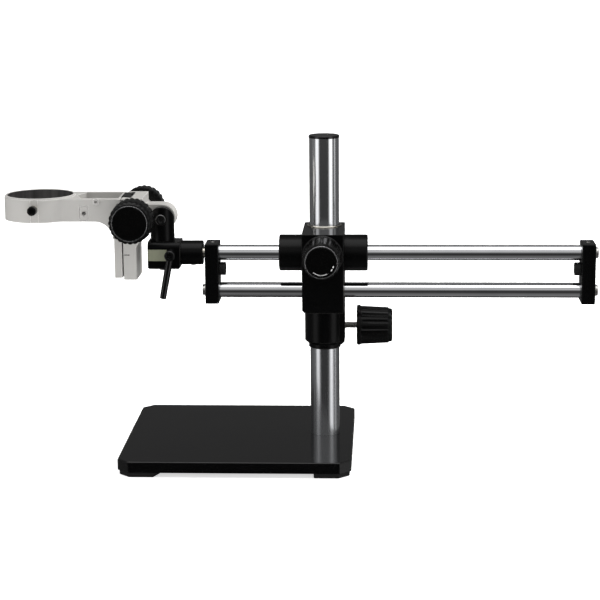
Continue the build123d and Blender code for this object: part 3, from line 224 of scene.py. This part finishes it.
def metal(name, colour, worn_and_shaded, rough, streak, strength, fade=None):
    """Bare metal with machining streaks along one axis.

    fade is a (low z, high z) span: towards its foot the metal's colour darkens, a painted shade that dims
    its reflections there, and its finish is duller; its top keeps the first colour.
    """
    material, tree, shader = new_material(name)
    shader.inputs["Metallic"].default_value = 1.0
    where = place(tree, streak)
    lines = noise(tree, where, 1.0, 3.0, 0.6)
    if fade is None:
        amount = spread(tree, noise(tree, place(tree, (1.0, 1.0, 1.0)), 25.0, 2.0), 0.0, 1.0)
    else:
        axes = tree.nodes.new("ShaderNodeSeparateXYZ")
        tree.links.new(place(tree, (1.0, 1.0, 1.0)), axes.inputs["Vector"])
        # Painted shade: the colour darkens towards the foot.
        amount = spread(tree, axes.outputs["Z"], 1.0, 0.0, *fade)
    tree.links.new(mix(tree, amount, colour, worn_and_shaded), shader.inputs["Base Color"])
    gloss = spread(tree, lines, rough[0], rough[1])
    if fade is not None:
        duller = add(tree, "ShaderNodeMath", operation="MULTIPLY_ADD")
        duller.inputs[1].default_value = FOOT_DULLNESS
        tree.links.new(amount, duller.inputs[0])
        tree.links.new(gloss, duller.inputs[2])
        gloss = duller.outputs["Value"]
    tree.links.new(gloss, shader.inputs["Roughness"])
    bevel = add(tree, "ShaderNodeBevel", Radius=METAL_EDGE_RADIUS)
    bevel.samples = BEVEL_SAMPLES
    bump(tree, shader, lines, strength, STREAK_DEPTH, bevel.outputs["Normal"])
    return material


# ---------------------------------------------------------------- materials
ANY_WAY = (900.0, 900.0, 900.0)
ALONG_X = (8.0, 2500.0, 2500.0)
ALONG_Z = (2500.0, 2500.0, 8.0)

# The pillar's second colour is painted shade, darker towards its foot.
chrome_pillar = metal(
    "chrome_pillar", (0.90, 0.91, 0.93), (0.60, 0.61, 0.63), (0.09, 0.16), ALONG_Z, 0.10,
    fade=(pillar_low.z, pillar_high.z),
)
chrome_tube = metal("chrome_tube", (0.86, 0.86, 0.88), (0.78, 0.79, 0.81), (0.05, 0.11), ALONG_X, 0.08)
steel = metal("screw_steel", (0.62, 0.61, 0.59), (0.50, 0.49, 0.47), (0.22, 0.36), ANY_WAY, 0.25)
bright_steel = metal("turned_steel", (0.80, 0.76, 0.68), (0.70, 0.66, 0.58), (0.12, 0.22), ANY_WAY, 0.15)
black_steel = metal(
    "blackened_steel", (0.030, 0.030, 0.032), (0.045, 0.045, 0.046), (0.16, 0.26), ANY_WAY, 0.15
)
bolt_steel = metal("bolt_steel", (0.10, 0.10, 0.10), (0.14, 0.14, 0.14), (0.10, 0.18), ANY_WAY, 0.12)
brass = metal("turned_brass", (0.78, 0.58, 0.28), (0.62, 0.44, 0.20), (0.2, 0.34), ANY_WAY, 0.25)
# The colours given for the edges below are painted highlights along sharp edges.
base_enamel = coated(
    "base_enamel", (0.0008, 0.0008, 0.0009), (0.0012, 0.0012, 0.0013), (0.11, 0.15), 2600.0, 0.05,
    edge_highlight=(0.006, 0.006, 0.006), specular=0.5,
)
anodised = coated(
    "black_anodised", (0.0008, 0.0008, 0.0009), (0.0013, 0.0013, 0.0014), (0.24, 0.32), 3200.0, 0.07,
    edge_highlight=(0.030, 0.029, 0.027), edge_radius=0.0007, specular=0.14, polished_top=0.08,
)
black_plastic = coated(
    "black_moulding", (0.0008, 0.0008, 0.0008), (0.0013, 0.0013, 0.0013), (0.13, 0.20), 4200.0, 0.06,
    edge_highlight=(0.014, 0.014, 0.014), edge_radius=0.0004,
)
black_grip = coated(
    "black_grip", (0.0006, 0.0006, 0.0006), (0.0010, 0.0010, 0.0010), (0.20, 0.28), 4200.0, 0.06,
    edge_radius=0.0002, specular=0.22,
)
gloss_black = coated(
    "gloss_black_disc", (0.0004, 0.0004, 0.0004), (0.0006, 0.0006, 0.0006), (0.04, 0.07), 900.0, 0.01,
)
rubber = coated(
    "rubber", (0.004, 0.004, 0.004), (0.007, 0.007, 0.007), (0.55, 0.7), 3000.0, 0.3, specular=0.3,
)
label_plate = coated(
    "label_plate", (0.165, 0.172, 0.118), (0.20, 0.208, 0.146), (0.26, 0.36), 2600.0, 0.05,
    edge_highlight=(0.30, 0.31, 0.23), edge_radius=0.0003,
)


RING_OUTER = 0.0415
BORE_REACH = 0.0383
BORE_METALLIC = 0.55
BORE_ROUGHNESS = 0.34
PAINT_ROUGHNESS = 0.42
PAINT_GRAIN = 0.12
PAINT_EDGE_RADIUS = 0.0007


def warm_paint():
    """Fine-textured light warm grey paint with a near-white painted highlight along its edges, with the
    ring's bore left as dark machined metal.
    """
    material, tree, shader = new_material("warm_grey_paint")
    where = place(tree, (1.0, 1.0, 1.0))
    tone = mix(
        tree, spread(tree, noise(tree, where, 14.0), 0.0, 1.0), (0.375, 0.366, 0.350), (0.41, 0.40, 0.383)
    )
    highlight_mask, rounded = edge_mask(tree, PAINT_EDGE_RADIUS)
    # Near-white along the edges: painted highlight.
    tone = mix(tree, highlight_mask, tone, (0.86, 0.85, 0.83))
    fine = noise(tree, where, 2200.0, 3.0)
    # The bore lies within a known distance of the ring's axis.
    ring_low, ring_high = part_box("focus_arm")
    ring_centre = Vector((ring_low.x + RING_OUTER, (ring_low.y + ring_high.y) / 2, 0.0))
    source = tree.nodes.new("ShaderNodeTexCoord")
    offset = add(tree, "ShaderNodeVectorMath", operation="SUBTRACT")
    offset.inputs[1].default_value = ring_centre
    flat = add(tree, "ShaderNodeVectorMath", operation="MULTIPLY")
    flat.inputs[1].default_value = (1.0, 1.0, 0.0)
    reach = add(tree, "ShaderNodeVectorMath", operation="LENGTH")
    tree.links.new(source.outputs["Object"], offset.inputs[0])
    tree.links.new(offset.outputs["Vector"], flat.inputs[0])
    tree.links.new(flat.outputs["Vector"], reach.inputs[0])
    inside = add(tree, "ShaderNodeMath", operation="LESS_THAN")
    inside.inputs[1].default_value = BORE_REACH
    tree.links.new(reach.outputs["Value"], inside.inputs[0])
    turned = noise(tree, place(tree, (150.0, 150.0, 4.0)), 1.0, 2.0)
    bare = mix(tree, spread(tree, turned, 0.0, 1.0), (0.045, 0.043, 0.042), (0.085, 0.082, 0.080))
    tree.links.new(mix(tree, inside.outputs["Value"], tone, bare), shader.inputs["Base Color"])
    gloss = tree.nodes.new("ShaderNodeMapRange")
    gloss.inputs["To Min"].default_value = PAINT_ROUGHNESS
    gloss.inputs["To Max"].default_value = BORE_ROUGHNESS
    tree.links.new(inside.outputs["Value"], gloss.inputs["Value"])
    tree.links.new(gloss.outputs["Result"], shader.inputs["Roughness"])
    metal_share = add(tree, "ShaderNodeMath", operation="MULTIPLY")
    metal_share.inputs[1].default_value = BORE_METALLIC
    tree.links.new(inside.outputs["Value"], metal_share.inputs[0])
    tree.links.new(metal_share.outputs["Value"], shader.inputs["Metallic"])
    bump(tree, shader, fine, PAINT_GRAIN, GRAIN_DEPTH, rounded)
    return material


white_paint = warm_paint()

SLOT_MATERIALS = {
    "black_plate": base_enamel,
    "black_metal": anodised,
    "white_metal": white_paint,
    "chrome": chrome_tube,
    "bright_metal": bright_steel,
    "screw_steel": steel,
    "black_steel": black_steel,
    "brass": brass,
    "rubber": rubber,
    "knob_plastic": black_plastic,
    "knob_disc": gloss_black,
    "black_plastic": black_plastic,
    "label": label_plate,
}
slots = {row["node"]: row["material_slot"] for row in frame["record"]["subparts"]}
for node_name, node in nodes.items():
    node.data.materials.clear()
    node.data.materials.append(SLOT_MATERIALS[slots[node_name]])
nodes["pillar"].data.materials[0] = chrome_pillar
nodes["tilt_bolt"].data.materials[0] = bolt_steel
nodes["lever_screw"].data.materials[0] = black_steel
nodes["ring_screw"].data.materials[0] = bright_steel


# ---------------------------------------------------------------- fine pieces
FRONT = Vector((0.0, -1.0, 0.0))
BACK = Vector((0.0, 1.0, 0.0))
RIGHT = Vector((1.0, 0.0, 0.0))
UPWARD = Vector((0.0, 0.0, 1.0))
SMOOTH_ANGLE = math.radians(32)


def finish_mesh(name, mesh_builder, material, body, node=None):
    """Turn a bmesh into a smooth-shaded piece on a body, in place of a CAD node if one is named."""
    mesh = bpy.data.meshes.new(name)
    bmesh.ops.recalc_face_normals(mesh_builder, faces=mesh_builder.faces)
    mesh_builder.to_mesh(mesh)
    mesh_builder.free()
    mesh.polygons.foreach_set("use_smooth", [True] * len(mesh.polygons))
    mesh.set_sharp_from_angle(angle=SMOOTH_ANGLE)
    mesh.materials.append(material)
    piece = bpy.data.objects.new(name, mesh)
    bpy.context.collection.objects.link(piece)
    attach(piece, body)
    if node is not None:
        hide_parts(node)
    return piece


def turned_mesh(seat, facing, outline, angles, radius_at):
    """Rings about an axis: outline rows are (radius, distance, share of the lobes)."""
    side = UPWARD
    across = facing.cross(side)
    builder = bmesh.new()
    rings = []
    for radius, distance, share in outline:
        centre = seat + facing * distance
        ring = []
        for angle in angles:
            local = radius_at(radius, angle, distance, share)
            outward = side * math.cos(angle) + across * math.sin(angle)
            ring.append(builder.verts.new(centre + outward * local))
        rings.append(ring)
    count = len(angles)
    for lower, upper in zip(rings, rings[1:]):
        for index in range(count):
            after = (index + 1) % count
            builder.faces.new((lower[index], lower[after], upper[after], upper[index]))
    builder.faces.new(rings[0])
    builder.faces.new(rings[-1])
    return builder


def add_plate(builder, outline, near_y, far_y):
    """A thin flat piece whose outline of (x, z) points faces the front."""
    near_side = [builder.verts.new((x, near_y, z)) for x, z in outline]
    far_side = [builder.verts.new((x, far_y, z)) for x, z in outline]
    builder.faces.new(near_side)
    builder.faces.new(far_side)
    for index in range(len(outline)):
        after = (index + 1) % len(outline)
        builder.faces.new((near_side[index], near_side[after], far_side[after], far_side[index]))


def even_angles(count):
    return [math.tau * index / count for index in range(count)]


def plain(radius, angle, distance, share):
    return radius


LOBE_ROUNDNESS = 0.8


def lobed(count, depth):
    """Rounded lobes with sharp valleys between them."""
    def radius_at(radius, angle, distance, share):
        return radius - depth * share * (1.0 - abs(math.cos(count * angle / 2)) ** LOBE_ROUNDNESS)
    return radius_at


def fluted(count, groove_radius, depth):
    """Round grooves cut into a grip, with lands of the full radius between them."""
    def radius_at(radius, angle, distance, share):
        pitch = math.tau / count
        off = abs((angle + pitch / 2) % pitch - pitch / 2) * radius
        sunk = groove_radius**2 - off**2
        if sunk <= 0 or share == 0:
            return radius
        return radius - share * max(0.0, math.sqrt(sunk) - (groove_radius - depth))
    return radius_at


def threaded(pitch, depth):
    """A screw thread: the radius falls and rises once in each pitch."""
    def radius_at(radius, angle, distance, share):
        phase = (distance / pitch - angle / math.tau) % 1.0
        return radius - depth * share * abs(2.0 * phase - 1.0)
    return radius_at


def node_span(node):
    low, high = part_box(node)
    return low, high, (low + high) / 2


# Focus knobs: a lobed grip, a stepped nose, and a thin polished ring round the face, its light metal colour
# a painted highlight along the face's edge.
FOCUS_LOBES = 24
FOCUS_LOBE_DEPTH = 0.0014
SEGMENTS_PER_LOBE = 12
FOCUS_NOSE_SHARE = 0.83
FOCUS_TAPER_SHARE = 0.962
RING_SIDES = 96
# A light grey metal ring round each knob's face: painted highlight along the face's edge.
nose_highlight_ring = metal("nose_highlight_ring", (0.60, 0.60, 0.61), (0.50, 0.50, 0.51), (0.12, 0.20), ANY_WAY, 0.1)


def focus_knob(node, facing, body):
    low, high, middle = node_span(node)
    length = high.y - low.y
    outer = (high.z - low.z) / 2
    seat = Vector((middle.x, high.y if facing is FRONT else low.y, middle.z))
    nose = outer * FOCUS_NOSE_SHARE
    grip_front = outer * FOCUS_TAPER_SHARE
    outline = (
        (outer * 0.60, 0.0, 0.0), (outer - 0.0018, 0.0, 0.6), (outer - 0.0007, 0.0003, 1.0),
        (outer, 0.0014, 1.0), (outer - 0.0002, length * 0.25, 1.0), (outer - 0.0005, length * 0.5, 0.9),
        (grip_front, length - 0.0052, 0.85), (grip_front - 0.0006, length - 0.0042, 0.8),
        (grip_front - 0.0018, length - 0.0034, 0.5), (nose + 0.0006, length - 0.0028, 0.0),
        (nose + 0.0002, length - 0.0018, 0.0), (nose, length - 0.0008, 0.0),
        (nose - 0.0003, length - 0.0002, 0.0), (nose - 0.0009, length, 0.0),
        (nose - 0.0016, length, 0.0), (nose - 0.0018, length - 0.0009, 0.0),
    )
    grip = turned_mesh(
        seat, facing, outline, even_angles(FOCUS_LOBES * SEGMENTS_PER_LOBE),
        lobed(FOCUS_LOBES, FOCUS_LOBE_DEPTH),
    )
    finish_mesh(node + "_grip", grip, black_grip, body, node)
    highlight_ring_outline = (
        (nose - 0.0013, length - 0.0012, 0.0), (nose - 0.0007, length - 0.0001, 0.0),
        (nose - 0.0009, length + 0.00005, 0.0), (nose - 0.0013, length + 0.00005, 0.0),
        (nose - 0.0016, length - 0.0002, 0.0), (nose - 0.0016, length - 0.0012, 0.0),
    )
    ring = turned_mesh(seat, facing, highlight_ring_outline, even_angles(RING_SIDES), plain)
    finish_mesh(node + "_face_highlight_ring", ring, nose_highlight_ring, body)


focus_knob("focus_knob_near", FRONT, "pinion")
focus_knob("focus_knob_far", BACK, "pinion")

# Lock knobs: a beaded skirt, a fluted taper and a stepped nose.
LOCK_FLUTES = 16
SEGMENTS_PER_FLUTE = 14
LOCK_FLUTE_RADIUS = 0.0021
LOCK_FLUTE_DEPTH = 0.0013
LOCK_BEAD_LENGTH = 0.0046
LOCK_NOSE_LENGTH = 0.0046


def lock_knob(node, facing, body):
    low, high, middle = node_span(node)
    outer = (high.z - low.z) / 2
    if facing is FRONT:
        length = high.y - low.y
        seat = Vector((middle.x, high.y, middle.z))
    else:
        length = high.x - low.x
        seat = Vector((low.x, middle.y, middle.z))
    bead_end = LOCK_BEAD_LENGTH
    nose_start = length - LOCK_NOSE_LENGTH
    grip_inner = outer - 0.0010
    grip_outer = outer - 0.0026
    nose = outer - 0.0039
    outline = (
        (0.0040, 0.0, 0.0), (outer - 0.0012, 0.0, 0.0), (outer - 0.0003, 0.0004, 0.0), (outer, 0.0012, 0.0),
        (outer, bead_end - 0.0008, 0.0), (outer - 0.0004, bead_end - 0.0002, 0.0),
        (grip_inner, bead_end + 0.0001, 0.0), (grip_inner, bead_end + 0.0006, 0.0),
        (grip_inner - 0.00005, bead_end + 0.0012, 0.7), (grip_inner - 0.0001, bead_end + 0.0020, 1.0),
        ((grip_inner + grip_outer) / 2, (bead_end + nose_start) / 2, 1.0),
        (grip_outer, nose_start - 0.0002, 1.0), (grip_outer - 0.0003, nose_start + 0.0002, 0.9),
        (nose + 0.0003, nose_start + 0.0005, 0.0), (nose, nose_start + 0.0012, 0.0),
        (nose - 0.0003, length - 0.0015, 0.0), (nose - 0.0008, length - 0.0006, 0.0),
        (nose - 0.0014, length - 0.0001, 0.0), (nose - 0.0021, length, 0.0),
        (nose - 0.0025, length - 0.0002, 0.0), (nose - 0.0026, length - 0.0008, 0.0),
    )
    grip = turned_mesh(
        seat, facing, outline, even_angles(LOCK_FLUTES * SEGMENTS_PER_FLUTE),
        fluted(LOCK_FLUTES, LOCK_FLUTE_RADIUS, LOCK_FLUTE_DEPTH),
    )
    finish_mesh(node + "_grip", grip, black_grip, body, node)
    # A light metal ring round the nose's face: painted highlight along its edge.
    highlight_ring_outline = (
        (nose - 0.0020, length - 0.0006, 0.0), (nose - 0.0013, length - 0.0001, 0.0),
        (nose - 0.0016, length + 0.00005, 0.0), (nose - 0.0021, length + 0.00005, 0.0),
        (nose - 0.0024, length - 0.0006, 0.0),
    )
    ring = turned_mesh(seat, facing, highlight_ring_outline, even_angles(RING_SIDES), plain)
    finish_mesh(node + "_face_highlight_ring", ring, nose_highlight_ring, body)


lock_knob("pillar_lock_knob", RIGHT, "pillar_knob")
lock_knob("boom_lock_knob", FRONT, "boom_knob")

# Generic printed tick marks on the boom lock's face, in two arcs.
mark_paint = coated(
    "printed_marks", (0.62, 0.62, 0.62), (0.70, 0.70, 0.70), (0.4, 0.5), 2600.0, 0.02,
)
cap_low, _, cap_middle = node_span("boom_lock_cap")
MARK_RADIUS = 0.0145
MARK_OUTWARD = 0.0005
MARK_INWARD = 0.0006
MARK_RISE = 0.00004
MARK_DEPTH = 0.0002
marks = bmesh.new()
for first, last, count, width in ((152.0, 220.0, 13, 2.6), (102.0, 134.0, 2, 9.0)):
    for index in range(count):
        centre_angle = math.radians(first + (last - first) * (index + 0.5) / count)
        half = math.radians(width / 2)
        corners = []
        inner = MARK_RADIUS - MARK_INWARD
        outer = MARK_RADIUS + MARK_OUTWARD
        for angle, radius in (
            (centre_angle - half, inner), (centre_angle + half, inner),
            (centre_angle + half, outer), (centre_angle - half, outer),
        ):
            corner_x = cap_middle.x + math.sin(angle) * radius
            corner_z = cap_middle.z + math.cos(angle) * radius
            corners.append((corner_x, corner_z))
        add_plate(marks, corners, cap_low.y - MARK_RISE, cap_low.y + MARK_DEPTH)
finish_mesh("boom_lock_marks", marks, mark_paint, "boom_knob")


# Real threads on the lock screws.
ROWS_PER_TURN = 8
THREAD_SIDES = 32
THREAD_DEPTH = 0.61
M8_RADIUS = 0.0040
M8_PITCH = 0.00125


def screw_thread(node, facing, body, radius, pitch, length, start):
    rows = int(length / pitch * ROWS_PER_TURN)
    outline = [
        (radius, length * row / rows, 0.0 if row in (0, rows) else 1.0) for row in range(rows + 1)
    ]
    thread = turned_mesh(
        start, facing, outline, even_angles(THREAD_SIDES), threaded(pitch, THREAD_DEPTH * pitch)
    )
    finish_mesh(node + "_thread", thread, steel, body, node)


low, high, middle = node_span("pillar_lock_screw")
screw_thread(
    "pillar_lock_screw", RIGHT, "pillar_knob", M8_RADIUS, M8_PITCH, high.x - low.x,
    Vector((low.x, middle.y, middle.z)),
)
low, high, middle = node_span("boom_lock_screw")
screw_thread(
    "boom_lock_screw", FRONT, "boom_knob", M8_RADIUS, M8_PITCH, high.y - low.y,
    Vector((middle.x, high.y, middle.z)),
)

# The ring's thumb screw: a knurled knob with rounded ends.
KNURLS = 30
SEGMENTS_PER_KNURL = 6
KNURL_DEPTH = 0.0004
low, high, middle = node_span("ring_knob")
ring_knob_radius = (high.z - low.z) / 2
ring_knob_length = high.y - low.y
knurl = turned_mesh(
    Vector((middle.x, high.y, middle.z)), FRONT,
    (
        (0.0025, 0.0, 0.0), (ring_knob_radius - 0.0010, 0.0, 0.0), (ring_knob_radius - 0.0003, 0.0003, 0.0),
        (ring_knob_radius, 0.0010, 1.0), (ring_knob_radius, ring_knob_length - 0.0011, 1.0),
        (ring_knob_radius - 0.0003, ring_knob_length - 0.0004, 0.3),
        (ring_knob_radius - 0.0009, ring_knob_length - 0.00005, 0.0),
        (ring_knob_radius - 0.0016, ring_knob_length, 0.0),
        (ring_knob_radius - 0.0022, ring_knob_length - 0.0004, 0.0),
    ),
    even_angles(KNURLS * SEGMENTS_PER_KNURL), lobed(KNURLS, KNURL_DEPTH),
)
finish_mesh("ring_knob_grip", knurl, black_grip, "ring_screw", "ring_knob")


# Dark paint over the index line that is engraved on the focus body's tail.
line_paint = coated("index_paint", (0.02, 0.018, 0.016), (0.03, 0.028, 0.025), (0.5, 0.6), 2600.0, 0.02)
body_low, _, body_middle = node_span("focus_body")
LINE_FROM_EDGE = 0.0041
TAIL_HALF = 0.0246
LINE_ABOVE_FOOT = 0.0293
LINE_CENTRE = Vector((body_low.x + LINE_FROM_EDGE, body_middle.y - TAIL_HALF, body_low.z + LINE_ABOVE_FOOT))
LINE_HALF_LENGTH = 0.0033
LINE_HALF_WIDTH = 0.00055
FILL_TOP = -0.00005
FILL_BOTTOM = 0.00050
ROUNDED_BAR = (
    (-1.0, -0.5), (-0.9, -1.0), (0.9, -1.0), (1.0, -0.5), (1.0, 0.5), (0.9, 1.0), (-0.9, 1.0), (-1.0, 0.5),
)
fill = bmesh.new()
outline = [
    (LINE_CENTRE.x + x_share * LINE_HALF_LENGTH, LINE_CENTRE.z + z_share * LINE_HALF_WIDTH)
    for x_share, z_share in ROUNDED_BAR
]
add_plate(fill, outline, LINE_CENTRE.y + FILL_TOP, LINE_CENTRE.y + FILL_BOTTOM)
finish_mesh("index_line_fill", fill, line_paint, "focus_body")


# ---------------------------------------------------------------- studio
STUDIO_STRENGTH = 2.5
FLOOR_GLOW = 0.62
FLOOR_HALF = 40.0
STAND_MIDDLE = (0.0, 0.0, 0.2)


def studio_world():
    """A dim room with tall light panels and a bright ceiling in reflections; white to the camera."""
    world = bpy.data.worlds.new("studio")
    world.use_nodes = True
    bpy.context.scene.world = world
    tree = world.node_tree
    tree.nodes.clear()
    source = tree.nodes.new("ShaderNodeTexCoord")
    axes = tree.nodes.new("ShaderNodeSeparateXYZ")
    tree.links.new(source.outputs["Generated"], axes.inputs["Vector"])
    forward_y = add(tree, "ShaderNodeMath", operation="MULTIPLY")
    forward_y.inputs[1].default_value = -1.0
    tree.links.new(axes.outputs["Y"], forward_y.inputs[0])
    angle = add(tree, "ShaderNodeMath", operation="ARCTAN2")
    tree.links.new(axes.outputs["X"], angle.inputs[0])
    tree.links.new(forward_y.outputs["Value"], angle.inputs[1])
    bearing = tree.nodes.new("ShaderNodeMapRange")
    bearing.inputs["From Min"].default_value = -math.pi
    bearing.inputs["From Max"].default_value = math.pi
    tree.links.new(angle.outputs["Value"], bearing.inputs["Value"])

    def ramp(value, stops):
        node = tree.nodes.new("ShaderNodeValToRGB")
        node.color_ramp.interpolation = "LINEAR"
        elements = node.color_ramp.elements
        while len(elements) > 1:
            elements.remove(elements[-1])
        elements[0].position = stops[0][0]
        elements[0].color = (stops[0][1],) * 3 + (1.0,)
        for position, level in stops[1:]:
            element = elements.new(position)
            element.color = (level,) * 3 + (1.0,)
        tree.links.new(value, node.inputs["Fac"])
        return node.outputs["Color"]

    # Panels by bearing, from behind by the left (0) to straight in front (0.5) and on by the right.
    panels = ramp(
        bearing.outputs["Result"],
        (
            (0.0, 0.04), (0.20, 0.04), (0.24, 0.06), (0.302, 0.06), (0.322, 0.43), (0.372, 0.43),
            (0.407, 0.0), (0.595, 0.0), (0.63, 0.5), (0.68, 0.5), (0.70, 0.04), (0.73, 0.04),
            (0.745, 0.22), (0.765, 0.22), (0.78, 0.04), (1.0, 0.04),
        ),
    )
    rise = add(tree, "ShaderNodeMapRange")
    rise.inputs["From Min"].default_value = -1.0
    rise.inputs["From Max"].default_value = 1.0
    tree.links.new(axes.outputs["Z"], rise.inputs["Value"])
    # How far up the panels reach, and the room's own brightness, from straight down (0) to up (1).
    reach = ramp(rise.outputs["Result"], ((0.0, 0.0), (0.1, 0.0), (0.2, 1.0), (0.82, 1.0), (0.9, 0.0)))
    height_glow = ramp(
        rise.outputs["Result"],
        (
            (0.0, 0.07), (0.13, 0.05), (0.25, 0.02), (0.355, 0.01), (0.485, 0.022), (0.60, 0.11),
            (0.72, 0.24), (0.79, 0.16), (0.86, 0.17), (0.90, 0.8), (1.0, 1.0),
        ),
    )
    # Behind the stand the room is dark nearly up to the zenith.
    behind = ramp(axes.outputs["Y"], ((0.0, 1.0), (0.12, 1.0), (0.28, 0.12), (1.0, 0.12)))
    room = add(tree, "ShaderNodeMath", operation="MULTIPLY")
    tree.links.new(height_glow, room.inputs[0])
    tree.links.new(behind, room.inputs[1])
    lit = add(tree, "ShaderNodeMath", operation="MULTIPLY")
    tree.links.new(panels, lit.inputs[0])
    tree.links.new(reach, lit.inputs[1])
    brighter = add(tree, "ShaderNodeMath", operation="MAXIMUM")
    tree.links.new(lit.outputs["Value"], brighter.inputs[0])
    tree.links.new(room.outputs["Value"], brighter.inputs[1])
    shown = add(tree, "ShaderNodeBackground", Strength=STUDIO_STRENGTH)
    tree.links.new(brighter.outputs["Value"], shown.inputs["Color"])
    plain = add(tree, "ShaderNodeBackground", Strength=1.0)
    plain.inputs["Color"].default_value = (1.0, 1.0, 1.0, 1.0)
    path = tree.nodes.new("ShaderNodeLightPath")
    choose = tree.nodes.new("ShaderNodeMixShader")
    tree.links.new(path.outputs["Is Camera Ray"], choose.inputs["Fac"])
    tree.links.new(shown.outputs["Background"], choose.inputs[1])
    tree.links.new(plain.outputs["Background"], choose.inputs[2])
    output = tree.nodes.new("ShaderNodeOutputWorld")
    tree.links.new(choose.outputs["Shader"], output.inputs["Surface"])


def soft_light(name, place_at, aim, width, height, power):
    data = bpy.data.lights.new(name, "AREA")
    data.shape = "RECTANGLE"
    data.size = width
    data.size_y = height
    data.energy = power
    light = bpy.data.objects.new(name, data)
    light.location = place_at
    light.rotation_euler = (Vector(aim) - Vector(place_at)).to_track_quat("-Z", "Y").to_euler()
    light.visible_camera = False
    light.visible_glossy = False
    bpy.context.collection.objects.link(light)


studio_world()
soft_light("key", (-1.7, -0.8, 1.2), STAND_MIDDLE, 1.2, 1.2, 6.0)
soft_light("fill", (1.5, -1.3, 0.9), STAND_MIDDLE, 1.4, 1.4, 1.8)
soft_light("back", (1.2, 1.0, 1.5), STAND_MIDDLE, 1.6, 1.2, 60.0)

floor_material, floor_tree, floor_shader = new_material("pale_floor")
floor_shader.inputs["Base Color"].default_value = (0.86, 0.86, 0.86, 1.0)
floor_shader.inputs["Roughness"].default_value = 0.9
floor_shader.inputs["Specular IOR Level"].default_value = 0.1
floor_shader.inputs["Emission Color"].default_value = (1.0, 1.0, 1.0, 1.0)
floor_shader.inputs["Emission Strength"].default_value = FLOOR_GLOW
floor_mesh = bpy.data.meshes.new("floor")
floor_mesh.from_pydata(
    [(-FLOOR_HALF, -FLOOR_HALF, 0), (FLOOR_HALF, -FLOOR_HALF, 0), (FLOOR_HALF, FLOOR_HALF, 0),
     (-FLOOR_HALF, FLOOR_HALF, 0)],
    [],
    [(0, 1, 2, 3)],
)
floor_mesh.materials.append(floor_material)
floor = bpy.data.objects.new("floor", floor_mesh)
floor.visible_glossy = False
bpy.context.collection.objects.link(floor)
